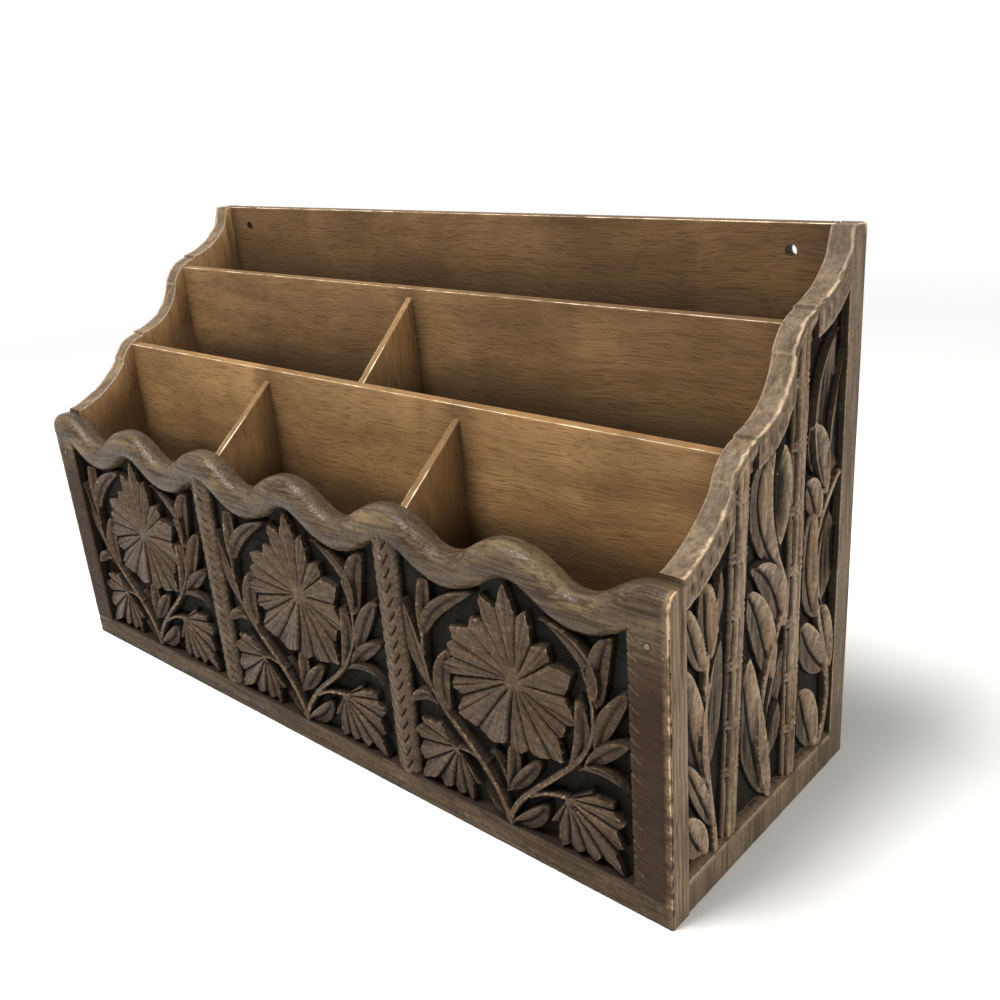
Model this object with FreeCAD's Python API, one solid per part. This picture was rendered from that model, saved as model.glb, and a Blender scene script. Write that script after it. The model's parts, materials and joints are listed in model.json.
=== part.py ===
import FreeCAD
import Part
import math
import os

from FreeCAD import Vector

# Carved walnut letter holder: three rows of compartments that rise from front to back.
# +X is to the right, +Y to the back, +Z up. The origin is under the middle of the base. Millimetres.

# Overall sizes
overall_width = 320.0
overall_depth = 109.0
back_height = 183.0
front_height = 107.0

# Boards
front_thickness = 9.0
side_thickness = 8.5
back_thickness = 5.0
bottom_thickness = 6.0
divider_thickness = 4.5
partition_thickness = 3.0

# Rows of compartments
front_row_depth = 31.0
middle_row_depth = 28.0
front_divider_top = 131.0
rear_divider_top = 160.0
front_partition_front_top = 101.5
front_partition_drop = 5.0
middle_partition_drop = 3.5

# Housings that the dividers and partitions are glued into
housing_depth = 1.5
fit_clearance = 0.1

# Front panel: wavy rail, columns and sunk panels
bay_count = 3
bay_margin = 4.75
column_width = 11.5
column_crown = 2.5
stile_width = 13.0
front_bottom_rail = 9.0
front_carving_depth = 5.0
rail_width = 11.5
rail_round = 4.5
rail_round_flat_count = 3
wave_height = 9.5
waves_per_bay = 2
flank_share = 0.8

# Side panels: stepped top, rim, poles and sunk columns
side_front_top = 108.0
side_bottom_rail = 12.0
side_back_stile = 10.0
side_rim = 9.0
side_carving_depth = 4.0
pole_diameter = 12.0
pole_reed_count = 12
reed_share = 0.6
reed_groove_depth = 0.6
pole_ring_diameter = 12.8
pole_ring_height = 3.6
pole_ring_spacing = 18.0
pole_ring_flat_count = 12
front_pole_head_lead = 1.5
front_pole_foot_lead = 8.0
rear_pole_head_lead = 1.0
rear_pole_foot_lead = 3.0
hump_over_divider = 3.0
hump_rise = 9.0
hump_bulge = 2.0
profile_step = 1.0
sweep_sag = (2.5, 4.5, 2.2)
horn_drop = 7.5
horn_foot = 9.5
horn_top = 7.0

# Square pins with round heads through the front panel, and the two hanging holes in the back
pin_diameter = 1.0
pin_head_diameter = 1.8
pin_head_height = 0.8
pin_head_flat_count = 8
pin_length = 22.0
pin_drop = 16.0
pin_clearance = 0.05
hang_hole_diameter = 4.0
hang_hole_inset = 13.5
hang_hole_drop = 8.5

# Carved relief: how far each form stays below the face it is cut from, how far it roots in the ground, and
# the straight chisel cuts along each edge of a leaf and a stem
leaf_sink = 1.2
stem_sink = 0.8
lobe_centre_sink = 0.7
lobe_tip_sink = 1.5
lobe_notch_sink = 2.3
relief_root = 0.3
leaf_cut_count = 4
stem_cut_count = 6

# Front leaf motif, drawn on a field of this size: across from its middle, up from the base of the holder.
# A leaf is its base, the point its spine passes halfway, its tip and its width.
field_width = 89.5
field_floor = 9.0
field_crown = 95.5
front_leaves = (
    ((-35.0, 66.5), (-29.0, 78.5), (-12.5, 88.0), 5.2),
    ((-34.5, 66.5), (-34.5, 78.5), (-33.0, 90.5), 4.4),
    ((-33.5, 46.0), (-40.0, 61.0), (-43.5, 78.0), 8.5),
    ((-30.5, 41.5), (-37.5, 44.0), (-44.0, 39.0), 4.6),
    ((-27.0, 41.5), (-29.0, 53.5), (-24.5, 65.5), 5.6),
    ((32.5, 66.5), (28.5, 79.0), (14.0, 87.5), 6.0),
    ((34.0, 65.0), (34.0, 78.5), (38.5, 89.0), 6.4),
    ((32.0, 50.5), (36.5, 62.0), (43.5, 73.0), 5.4),
    ((28.0, 43.0), (35.0, 50.5), (43.5, 56.5), 5.2),
    ((22.0, 39.5), (26.5, 50.5), (26.5, 66.0), 4.4),
    ((25.5, 41.0), (34.0, 43.5), (43.5, 40.5), 3.4),
    ((-3.0, 9.5), (-9.0, 12.5), (-12.5, 18.0), 4.0),
    ((-2.5, 9.5), (6.0, 14.5), (12.0, 22.5), 6.2),
    ((-2.5, 22.0), (-0.5, 32.0), (-1.0, 39.0), 4.0),
    ((-2.0, 22.0), (4.0, 29.5), (10.0, 37.0), 5.0),
    ((-3.5, 21.0), (-5.0, 28.0), (-9.5, 34.0), 3.4),
)
# A stem is the poles of its curve and its width.
front_stems = (
    (((-3.0, 9.5), (-10.0, 36.0), (-41.0, 38.0), (-35.0, 68.0)), 2.3),
    (((-3.0, 11.0), (3.0, 32.0), (43.0, 42.0), (29.0, 76.0)), 2.2),
    (((-12.5, 27.5), (-18.5, 30.5), (-24.3, 29.0)), 1.6),
    (((6.0, 23.5), (13.0, 28.5), (20.8, 29.0)), 1.6),
)
# The big leaf and the corner fans: each lobe is its direction in degrees, its length, and the share of the
# shorter neighbour's length that is left at the notch after it.
rosette_centre = (2.7, 63.2)
rosette_lobes = (
    (-172.0, 32.0, 0.93), (-158.0, 29.5, 0.90), (-142.0, 33.0, 1.04), (-114.0, 28.5, 0.92),
    (-92.0, 26.5, 0.95), (-76.0, 25.5, 1.03), (-53.0, 28.0, 0.97), (-37.0, 21.5, 0.93),
    (-18.0, 23.4, 0.77), (22.0, 23.2, 0.84), (50.0, 19.8, 0.76), (77.0, 25.2, 0.83), (94.0, 31.5, 0.78),
    (117.0, 28.0, 0.82), (136.0, 23.5, 0.92), (158.0, 28.5, 0.89), (172.0, 28.5, 0.88),
)
left_fan_hinge = (-24.3, 29.0)
right_fan_hinge = (20.8, 29.0)
fan_lobes = (
    (144.0, 11.0, 0.95), (163.0, 17.5, 0.92), (181.0, 20.5, 0.86), (206.0, 21.5, 0.93), (225.0, 27.5, 0.93),
    (245.0, 21.0, 0.94), (264.0, 19.0, 0.93), (283.0, 19.5, 0.82), (304.0, 14.0, 1.0),
)

# Side leaf sprays, each column drawn on a field of its own: back from its front edge, up from its floor
front_spray_field = (22.5, 93.0)
front_spray_leaves = (
    ((10.5, 2.0), (5.2, 10.5), (1.0, 21.0), 10.0),
    ((15.1, 9.0), (8.4, 24.0), (0.6, 39.0), 5.5),
    ((9.7, 27.5), (4.6, 47.5), (0.5, 69.0), 11.0),
    ((11.5, 27.5), (15.0, 48.0), (19.5, 72.0), 12.0),
    ((10.4, 63.5), (5.8, 74.5), (1.8, 86.5), 6.0),
    ((13.1, 66.5), (12.6, 78.0), (12.0, 90.0), 7.5),
    ((17.5, 72.5), (19.2, 82.5), (19.0, 93.0), 6.0),
)
front_spray_stems = (
    (((16.0, 0.5), (16.0, 14.0), (7.5, 34.0), (12.0, 68.0)), 2.2),
)
middle_spray_field = (23.25, 118.5)
middle_spray_leaves = (
    ((13.4, 0.5), (3.6, 27.5), (-1.5, 58.0), 12.5),
    ((13.4, 43.0), (9.0, 60.5), (-0.5, 78.0), 10.5),
    ((20.7, 57.5), (14.5, 73.5), (2.6, 84.0), 9.5),
    ((10.1, 24.0), (17.4, 37.5), (20.7, 51.0), 11.0),
    ((13.0, 13.0), (17.4, 22.5), (18.3, 33.0), 10.0),
    ((17.4, 77.0), (6.5, 100.0), (12.5, 116.5), 10.0),
    ((16.7, 86.0), (18.4, 102.5), (18.0, 116.5), 10.0),
)
middle_spray_stems = (
    (((13.4, 0.5), (2.5, 24.0), (6.5, 47.0), (22.0, 63.5)), 2.4),
    (((22.0, 63.5), (24.5, 72.0), (15.0, 80.0), (13.0, 92.0)), 2.2),
)
rear_spray_field = (20.25, 146.0)
rear_spray_leaves = (
    ((10.5, 94.0), (8.2, 120.0), (15.5, 143.0), 13.5),
    ((13.5, 96.0), (19.0, 113.0), (20.5, 136.0), 14.0),
    ((10.6, 92.0), (6.4, 107.0), (-0.2, 116.5), 10.0),
    ((6.6, 85.5), (3.4, 94.0), (-1.5, 100.5), 8.0),
    ((12.0, 53.5), (13.6, 69.5), (14.0, 86.0), 15.5),
    ((8.5, 50.0), (2.2, 68.0), (4.6, 88.0), 8.0),
    ((17.0, 27.0), (6.6, 38.5), (-2.0, 53.0), 11.5),
    ((9.4, 0.5), (4.0, 15.5), (-1.5, 28.5), 12.0),
    ((18.2, 27.5), (16.0, 40.5), (12.5, 53.5), 6.5),
)
rear_spray_stems = (
    (((12.6, 0.5), (28.0, 26.0), (4.5, 44.0), (4.6, 77.0)), 2.4),
    (((4.6, 77.0), (8.0, 87.0), (20.0, 96.5)), 2.2),
)

# Faces worked out from the sizes above
half_width = overall_width / 2
inner_half_width = half_width - side_thickness
front_face = -overall_depth / 2
front_inner_face = front_face + front_thickness
rear_face = overall_depth / 2
back_inner_face = rear_face - back_thickness
front_divider_face = front_inner_face + front_row_depth
front_divider_rear = front_divider_face + divider_thickness
rear_divider_face = front_divider_rear + middle_row_depth
rear_divider_rear = rear_divider_face + divider_thickness
front_ground = front_face + front_carving_depth
side_ground = half_width - side_carving_depth
bay_width = (overall_width - 2 * bay_margin) / bay_count
partition_places = (-bay_width / 2, bay_width / 2)
tenon = housing_depth - fit_clearance
pole_radius = pole_diameter / 2

# The wave's centre line: arcs of one radius joined by straight flanks
half_wave = bay_width / waves_per_bay / 2
wave_centre = front_height - rail_width / 2 - wave_height / 2
flank_angle = flank_share * 2 * math.atan(wave_height / half_wave)
wave_radius = ((half_wave * math.sin(flank_angle) - wave_height * math.cos(flank_angle))
               / (2 * (1 - math.cos(flank_angle))))


def block(x0, x1, y0, y1, z0, z1):
    return Part.makeBox(x1 - x0, y1 - y0, z1 - z0, Vector(x0, y0, z0))


def cuts_along(poles, count):
    """Points that part the curve of these poles into so many straight cuts."""
    line = Part.BezierCurve()
    line.setPoles(poles)
    return [line.value(index / count) for index in range(count + 1)]


def ring_of_corners(centre, across, up, corners):
    """Points about a centre, each corner a bearing in degrees and a distance."""
    points = []
    for bearing, distance in corners:
        turn = math.radians(bearing)
        points.append(centre + across * (distance * math.cos(turn)) + up * (distance * math.sin(turn)))
    return points


def flats(count, radius):
    """Corners of a regular outline with so many flats, one of them facing the first direction."""
    return [(360 / count * (index + 0.5), radius) for index in range(count)]


def prism(outline, lift):
    return Part.Face(Part.makePolygon(outline + outline[:1])).extrude(lift)


def arc_with_sag(start, end, sag):
    """Arc in the YZ plane whose middle lies sag below the chord, or above it where sag is negative."""
    along = (end - start).normalize()
    down = Vector(0, along.z, -along.y)
    middle = (start + end) * 0.5 + down * sag
    return Part.Arc(start, middle, end).toShape()


def one_solid(shape):
    if len(shape.Solids) != 1:
        raise ValueError("a carved board came out as %d solids" % len(shape.Solids))
    return shape.Solids[0]


# Carved forms: place(across, up, height) gives the point of a motif that stands height above its ground

def leaf(place, base, through, tip, width, height):
    """A slender leaf between two bent edges that meet at its base and its tip."""
    base = Vector(*base)
    tip = Vector(*tip)
    bend = Vector(*through) * 2 - (base + tip) * 0.5
    along = (tip - base).normalize()
    aside = Vector(-along.y, along.x) * width

    def at(point):
        return place(point.x, point.y, -relief_root)

    left = cuts_along([at(base), at(bend + aside), at(tip)], leaf_cut_count)
    right = cuts_along([at(tip), at(bend - aside), at(base)], leaf_cut_count)
    return prism(left[:-1] + right[:-1], place(0, 0, height) - place(0, 0, -relief_root))


def stem(place, poles, width, height):
    """A band of even width along a curve."""
    points = [Vector(*pole) for pole in poles]
    left = []
    right = []
    for index, point in enumerate(points):
        before = points[max(index - 1, 0)]
        after = points[min(index + 1, len(points) - 1)]
        along = (after - before).normalize()
        aside = Vector(-along.y, along.x) * (width / 2)
        left.append(place(point.x + aside.x, point.y + aside.y, -relief_root))
        right.append(place(point.x - aside.x, point.y - aside.y, -relief_root))
    right.reverse()
    outline = cuts_along(left, stem_cut_count) + cuts_along(right, stem_cut_count)
    return prism(outline, place(0, 0, height) - place(0, 0, -relief_root))


def lobed_leaf(place, centre, lobes, depth, closed):
    """A leaf of pointed lobes: a ridge runs from its centre to each tip, and a valley to each notch."""
    ring = []
    for index, (angle, length, notch_share) in enumerate(lobes):
        ring.append((angle, length, depth - lobe_tip_sink))
        if index == len(lobes) - 1 and not closed:
            break
        next_angle, next_length = lobes[(index + 1) % len(lobes)][:2]
        turn = (next_angle - angle + 180) % 360 - 180
        notch = notch_share * min(length, next_length)
        ring.append((angle + turn / 2, notch, depth - lobe_notch_sink))

    def spot(angle, length):
        bearing = math.radians(angle)
        return centre[0] + length * math.cos(bearing), centre[1] + length * math.sin(bearing)

    top = [place(*spot(angle, length), height) for angle, length, height in ring]
    foot = [place(*spot(angle, length), -relief_root) for angle, length, height in ring]
    middle = place(*centre, depth - lobe_centre_sink)
    outline = list(zip(top, foot))
    faces = []
    for index in range(len(top) if closed else len(top) - 1):
        after = (index + 1) % len(top)
        faces.append(Part.Face(Part.makePolygon([middle, top[index], top[after], middle])))
    if not closed:
        outline.append((middle, place(*centre, -relief_root)))
    for index, (high, low) in enumerate(outline):
        next_high, next_low = outline[(index + 1) % len(outline)]
        faces.append(Part.Face(Part.makePolygon([high, next_high, next_low, low, high])))
    feet = [low for high, low in outline]
    faces.append(Part.Face(Part.makePolygon(feet + feet[:1])))
    solid = Part.Solid(Part.Shell(faces))
    solid.fixTolerance(1e-4)
    if solid.Volume < 0:
        solid.reverse()
    return solid


def spray(place, leaves, stems, depth):
    """The leaves and stems of one motif."""
    forms = [leaf(place, base, through, tip, width, depth - leaf_sink)
             for base, through, tip, width in leaves]
    forms += [stem(place, poles, width, depth - stem_sink) for poles, width in stems]
    return forms


# Front panel

def wave_edges(y):
    """The rail's centre line, from beyond one end of the panel to beyond the other."""
    reach = math.ceil((half_width + rail_width) / half_wave)
    side = wave_radius * math.sin(flank_angle)
    fall = wave_radius * (1 - math.cos(flank_angle))
    edges = []
    last = None
    for index in range(-reach, reach + 1):
        x = index * half_wave
        up = 1 if index % 2 == 0 else -1
        apex = wave_centre + up * wave_height / 2
        start = Vector(x - side, y, apex - up * fall)
        end = Vector(x + side, y, apex - up * fall)
        if last is not None:
            edges.append(Part.LineSegment(last, start).toShape())
        edges.append(Part.Arc(start, Vector(x, y, apex), end).toShape())
        last = end
    return edges


def rail_section(start, along):
    """Section of the rail across the wave: flat at the back, rounded over in flats at the front."""
    up = Vector(-along.z, 0, along.x)
    half = rail_width / 2
    profile = [(half, front_inner_face)]
    for index in range(rail_round_flat_count + 1):
        turn = math.pi / 2 * index / rail_round_flat_count
        profile.append((half - rail_round * (1 - math.cos(turn)),
                        front_face + rail_round * (1 - math.sin(turn))))
    profile += [(-height, y) for height, y in reversed(profile)]
    points = [Vector(start.x, y, start.z) + up * height for height, y in profile]
    return Part.makePolygon(points + points[:1])


def wavy_rail():
    path = Part.Wire(wave_edges(front_inner_face))
    start = path.OrderedVertexes[0].Point
    along = Vector(math.cos(flank_angle), 0, math.sin(flank_angle))
    if path.OrderedEdges[0].Curve.Center.z > start.z:
        along.z = -along.z
    return path.makePipeShell([rail_section(start, along)], True, False)


def board_under_wave():
    edges = wave_edges(front_inner_face)
    path = Part.Wire(edges)
    first = path.OrderedVertexes[0].Point
    last = path.OrderedVertexes[-1].Point
    outline = [last, Vector(last.x, last.y, 0), Vector(first.x, first.y, 0), first]
    sides = [Part.LineSegment(a, b).toShape() for a, b in zip(outline, outline[1:])]
    return Part.Face(Part.Wire(edges + sides)).extrude(Vector(0, -front_thickness, 0))


def column(x):
    """One of the two upright columns, crowned across its width."""
    half = column_width / 2
    shoulder = front_face + column_crown
    root = front_ground + relief_root
    outline = [Vector(x + half, shoulder, 0), Vector(x + half, root, 0),
               Vector(x - half, root, 0), Vector(x - half, shoulder, 0)]
    edges = [Part.LineSegment(a, b).toShape() for a, b in zip(outline, outline[1:])]
    edges.append(Part.Arc(outline[-1], Vector(x, front_face, 0), outline[0]).toShape())
    face = Part.Face(Part.Wire(edges))
    face.translate(Vector(0, 0, front_bottom_rail - relief_root))
    return face.extrude(Vector(0, 0, wave_centre - front_bottom_rail))


def front_motif(x0, x1):
    """The big leaf, the corner fans and the sprays of one sunk panel between x0 and x1."""
    across = (x1 - x0) / field_width
    upward = (front_height - rail_width - front_bottom_rail) / (field_crown - field_floor)
    middle = (x0 + x1) / 2

    def place(u, v, height):
        return Vector(middle + u * across, front_ground - height,
                      front_bottom_rail + (v - field_floor) * upward)

    mirrored = [(180 - angle, length, notch_share) for angle, length, notch_share in fan_lobes]
    forms = spray(place, front_leaves, front_stems, front_carving_depth)
    forms.append(lobed_leaf(place, rosette_centre, rosette_lobes, front_carving_depth, True))
    forms.append(lobed_leaf(place, left_fan_hinge, fan_lobes, front_carving_depth, False))
    forms.append(lobed_leaf(place, right_fan_hinge, mirrored, front_carving_depth, False))
    return forms


def partition_top(y, low_y, low_z, high_y, high_z):
    return low_z + (y - low_y) * (high_z - low_z) / (high_y - low_y)


def front_partition_top(y):
    return partition_top(y, front_inner_face, front_partition_front_top,
                         front_divider_face, front_divider_top - front_partition_drop)


def middle_partition_top(y):
    return partition_top(y, front_divider_rear, front_divider_top,
                         rear_divider_face, rear_divider_top - middle_partition_drop)


def groove(x, y0, y1, top):
    """Housing for the end of a partition."""
    half = partition_thickness / 2 + fit_clearance
    return block(x - half, x + half, y0, y1, bottom_thickness - fit_clearance, top + fit_clearance)


def pin_places():
    stile_x = inner_half_width + (side_thickness - side_carving_depth) / 2
    return (-stile_x,) + partition_places + (stile_x,)


def pin(x, clearance):
    """A pin driven in from the front, its head flush with the carved face."""
    start = Vector(x, front_face, front_height - pin_drop)
    across = Vector(1, 0, 0)
    up = Vector(0, 0, 1)
    inward = Vector(0, 1, 0)
    head = flats(pin_head_flat_count, pin_head_diameter / 2 + clearance)
    shank = flats(4, (pin_diameter / 2 + clearance) * math.sqrt(2))
    head = prism(ring_of_corners(start, across, up, head), inward * (pin_head_height + clearance))
    shank = prism(ring_of_corners(start, across, up, shank), inward * (pin_length + clearance))
    return head.fuse(shank).removeSplitter()


def cut_pin_holes(shape):
    return shape.cut([pin(x, pin_clearance) for x in pin_places()])


def front_panel():
    inner = bay_width / 2 - column_width / 2
    outer = bay_width / 2 + column_width / 2
    edge = half_width - stile_width
    ground = block(-edge, edge, front_face, front_ground, front_bottom_rail, front_height)
    board = board_under_wave().cut(ground)
    forms = [wavy_rail()] + [column(x) for x in partition_places]
    for x0, x1 in ((-edge, -outer), (-inner, inner), (outer, edge)):
        forms += front_motif(x0, x1)
    panel = board.fuse(forms)
    panel = panel.common(block(-half_width, half_width, front_face, front_inner_face, 0, front_height))
    housings = [groove(x, front_inner_face - housing_depth, front_inner_face,
                       front_partition_top(front_inner_face)) for x in partition_places]
    return one_solid(cut_pin_holes(panel.cut(housings)))


# Side panels

def pole_lines():
    """Foot and head of the two poles, each a place along Y."""
    front_middle = (front_divider_face + front_divider_rear) / 2
    rear_middle = (rear_divider_face + rear_divider_rear) / 2
    return ((front_middle - front_pole_foot_lead, front_middle - front_pole_head_lead),
            (rear_middle - rear_pole_foot_lead, rear_middle - rear_pole_head_lead))


def side_outline():
    """The side seen from the right: three hollow sweeps, a hump at the head of each pole, and a horn."""
    heads = [head for foot, head in pole_lines()]
    hump_ends = (front_divider_top + hump_over_divider, rear_divider_top + hump_over_divider)
    edges = []
    point = Vector(half_width, front_inner_face, side_front_top)
    first = point

    def line_to(target):
        nonlocal point
        edges.append(Part.LineSegment(point, target).toShape())
        point = target

    def arc_to(target, sag):
        nonlocal point
        edges.append(arc_with_sag(point, target, sag))
        point = target

    for head, top, sag in zip(heads, hump_ends, sweep_sag):
        foot = top - hump_rise
        arc_to(Vector(half_width, head - pole_radius, foot - profile_step), sag)
        line_to(Vector(half_width, head - pole_radius, foot))
        arc_to(Vector(half_width, head + pole_radius, top), -hump_bulge)
        line_to(Vector(half_width, head + pole_radius, top + profile_step))
    arc_to(Vector(half_width, rear_face - horn_foot, back_height - horn_drop), sweep_sag[-1])
    line_to(Vector(half_width, rear_face - horn_top, back_height))
    line_to(Vector(half_width, rear_face, back_height))
    line_to(Vector(half_width, rear_face, 0))
    line_to(Vector(half_width, front_inner_face, 0))
    line_to(first)
    return Part.Face(Part.Wire(edges))


def reeded():
    """Corners of a reeded pole's section: flat reeds with a groove between each two."""
    pitch = 360 / pole_reed_count
    half_reed = pitch * reed_share / 2
    corners = []
    for index in range(pole_reed_count):
        bearing = index * pitch
        corners.append((bearing - half_reed, pole_radius))
        corners.append((bearing + half_reed, pole_radius))
        corners.append((bearing + pitch / 2, pole_radius - reed_groove_depth))
    return corners


def pole(foot_y, head_y, floor, top, blank):
    """A reeded pole with a ring at each node, cut to the side's outline."""
    axis_x = half_width - pole_ring_diameter / 2
    foot = Vector(axis_x, foot_y, floor)
    run = Vector(axis_x, head_y, top) - foot
    upright = run / run.Length
    outward = Vector(1, 0, 0)
    aside = upright.cross(outward)
    low = ring_of_corners(foot - upright * pole_radius, outward, aside, reeded())
    shaft = prism(low, upright * (run.Length + 2 * pole_radius))
    rings = []
    for index in range(1, int((run.Length - pole_ring_height) / pole_ring_spacing) + 1):
        start = foot + upright * (index * pole_ring_spacing)
        corners = ring_of_corners(start, outward, aside, flats(pole_ring_flat_count, pole_ring_diameter / 2))
        rings.append(prism(corners, upright * pole_ring_height))
    rooted = block(side_ground - relief_root, half_width, front_inner_face, rear_face,
                   floor - relief_root, back_height)
    return shaft.fuse(rings).common(rooted).common(blank)


def side_spray(y0, y1, top, field, leaves, stems):
    """One column of leaves between y0 and y1."""
    across = (y1 - y0) / field[0]
    upward = (top - side_rim - side_bottom_rail) / field[1]

    def place(u, v, height):
        return Vector(side_ground + height, y0 + u * across, side_bottom_rail + v * upward)

    return spray(place, leaves, stems, side_carving_depth)


def right_side_panel():
    blank = side_outline().extrude(Vector(-side_thickness, 0, 0))
    stile = rear_face - side_back_stile
    lowered = blank.copy()
    lowered.translate(Vector(0, 0, -side_rim))
    field = block(side_ground, half_width, front_inner_face, stile, side_bottom_rail, back_height)
    panel = blank.cut(lowered.common(field))

    (front_foot, front_head), (rear_foot, rear_head) = pole_lines()
    front_middle = (front_foot + front_head) / 2
    rear_middle = (rear_foot + rear_head) / 2
    hump_ends = (front_divider_top + hump_over_divider, rear_divider_top + hump_over_divider)
    sweep_levels = ((side_front_top + hump_ends[0] - hump_rise) / 2 - sweep_sag[0],
                    (hump_ends[0] + hump_ends[1] - hump_rise) / 2 - sweep_sag[1],
                    (hump_ends[1] + back_height - horn_drop) / 2 - sweep_sag[2])
    forms = [pole(front_foot, front_head, side_bottom_rail, hump_ends[0], blank),
             pole(rear_foot, rear_head, side_bottom_rail, hump_ends[1], blank)]
    forms += side_spray(front_inner_face, front_middle - pole_radius, sweep_levels[0],
                        front_spray_field, front_spray_leaves, front_spray_stems)
    forms += side_spray(front_middle + pole_radius, rear_middle - pole_radius, sweep_levels[1],
                        middle_spray_field, middle_spray_leaves, middle_spray_stems)
    forms += side_spray(rear_middle + pole_radius, stile, sweep_levels[2],
                        rear_spray_field, rear_spray_leaves, rear_spray_stems)
    panel = panel.fuse(forms).common(blank)

    housings = []
    for face, rear, top in ((front_divider_face, front_divider_rear, front_divider_top),
                            (rear_divider_face, rear_divider_rear, rear_divider_top)):
        housings.append(block(inner_half_width, inner_half_width + housing_depth,
                              face - fit_clearance, rear + fit_clearance,
                              bottom_thickness - fit_clearance, top + fit_clearance))
    return one_solid(cut_pin_holes(panel.cut(housings)))


# Plain boards

def back_panel():
    board = block(-inner_half_width, inner_half_width, back_inner_face, rear_face, 0, back_height)
    holes = [Part.makeCylinder(hang_hole_diameter / 2, back_thickness,
                               Vector(x, back_inner_face, back_height - hang_hole_drop), Vector(0, 1, 0))
             for x in (hang_hole_inset - inner_half_width, inner_half_width - hang_hole_inset)]
    return board.cut(holes)


def bottom_board():
    return block(-inner_half_width, inner_half_width, front_inner_face, back_inner_face, 0, bottom_thickness)


def divider(face, top):
    reach = inner_half_width + tenon
    return block(-reach, reach, face, face + divider_thickness, bottom_thickness, top)


def front_divider():
    top = front_partition_top(front_divider_face + tenon)
    housings = [groove(x, front_divider_face, front_divider_face + housing_depth, top)
                for x in partition_places]
    housings.append(groove(0, front_divider_rear - housing_depth, front_divider_rear, front_divider_top))
    return divider(front_divider_face, front_divider_top).cut(housings)


def rear_divider():
    top = middle_partition_top(rear_divider_face + tenon)
    housing = groove(0, rear_divider_face, rear_divider_face + housing_depth, top)
    return divider(rear_divider_face, rear_divider_top).cut(housing)


def partition(x, y0, y1, top_line):
    """A cross board with a sloping top, its ends held in housings."""
    outline = [Vector(x - partition_thickness / 2, y, z) for y, z in (
        (y0, bottom_thickness), (y1, bottom_thickness), (y1, top_line(y1)), (y0, top_line(y0)))]
    face = Part.Face(Part.makePolygon(outline + outline[:1]))
    return face.extrude(Vector(partition_thickness, 0, 0))


def front_partition(x):
    board = partition(x, front_inner_face - tenon, front_divider_face + tenon, front_partition_top)
    return cut_pin_holes(board)


def middle_partition():
    return partition(0, front_divider_rear - tenon, rear_divider_face + tenon, middle_partition_top)


def mirrored_left(shape):
    return shape.mirror(Vector(0, 0, 0), Vector(1, 0, 0))


def main():
    os.makedirs("parts", exist_ok=True)
    right_side = right_side_panel()
    nodes = {
        "front_panel": front_panel(),
        "right_side_panel": right_side,
        "left_side_panel": mirrored_left(right_side),
        "back_panel": back_panel(),
        "bottom_board": bottom_board(),
        "front_divider": front_divider(),
        "rear_divider": rear_divider(),
        "front_left_partition": front_partition(partition_places[0]),
        "front_right_partition": front_partition(partition_places[1]),
        "middle_partition": middle_partition(),
        "front_panel_pins": Part.makeCompound([pin(x, 0) for x in pin_places()]),
    }
    for name, shape in nodes.items():
        shape.exportStep("parts/%s.step" % name)
        box = shape.optimalBoundingBox(False)
        print("%-22s %d solid(s), valid %s, %.1f cm3, x %.1f..%.1f y %.1f..%.1f z %.1f..%.1f" % (
            name, len(shape.Solids), shape.isValid(), shape.Volume / 1000,
            box.XMin, box.XMax, box.YMin, box.YMax, box.ZMin, box.ZMax))


main()
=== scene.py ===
import json
import logging
import math
from abc import ABC, abstractmethod
from dataclasses import dataclass, field
from enum import Enum
from typing import Sequence

import bmesh
import bpy
import numpy as np
from mathutils import Euler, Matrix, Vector


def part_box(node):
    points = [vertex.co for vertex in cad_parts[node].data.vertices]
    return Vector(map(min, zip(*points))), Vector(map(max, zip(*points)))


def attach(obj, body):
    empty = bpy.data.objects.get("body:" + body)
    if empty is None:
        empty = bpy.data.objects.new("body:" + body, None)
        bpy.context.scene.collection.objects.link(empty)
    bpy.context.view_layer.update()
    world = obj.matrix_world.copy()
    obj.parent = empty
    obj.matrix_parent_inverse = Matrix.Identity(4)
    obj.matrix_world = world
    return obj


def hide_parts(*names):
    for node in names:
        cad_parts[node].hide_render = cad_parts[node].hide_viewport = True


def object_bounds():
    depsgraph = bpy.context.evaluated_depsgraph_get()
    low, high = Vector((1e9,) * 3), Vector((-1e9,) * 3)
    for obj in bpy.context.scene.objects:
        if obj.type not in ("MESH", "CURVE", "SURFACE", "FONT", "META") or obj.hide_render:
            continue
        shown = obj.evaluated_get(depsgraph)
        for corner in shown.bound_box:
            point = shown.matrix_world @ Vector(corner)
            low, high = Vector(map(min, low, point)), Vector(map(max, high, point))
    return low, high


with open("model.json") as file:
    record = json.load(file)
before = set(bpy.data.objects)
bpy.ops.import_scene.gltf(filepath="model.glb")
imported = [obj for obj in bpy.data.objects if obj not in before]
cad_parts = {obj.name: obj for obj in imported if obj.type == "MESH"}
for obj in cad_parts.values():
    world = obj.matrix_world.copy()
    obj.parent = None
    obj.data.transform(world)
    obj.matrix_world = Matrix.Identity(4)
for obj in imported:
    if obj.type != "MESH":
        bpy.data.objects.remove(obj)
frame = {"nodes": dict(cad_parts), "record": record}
CAD_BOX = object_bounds()

Array = np.ndarray
Socket = bpy.types.NodeSocket
Material = bpy.types.Material
Piece = bpy.types.Object
Point = tuple[float, float]
Colour = tuple[float, float, float]
LeafSpec = tuple[Point, Point, Point, float]
StemSpec = tuple[tuple[Point, ...], float]
LobeSpec = tuple[float, float, float]
Tile = tuple[float, float, float, float]

MILLIMETRE = 0.001
WALL_RUN = 0.25
NUDGE = 0.02
SNAP_REACH = 0.165
SNAP_COVER = 0.2
WALL_FALL = 6.0
BODY = "root"
OUTSIDE = -1.0e6
LOG = logging.getLogger("letter_holder")


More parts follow.
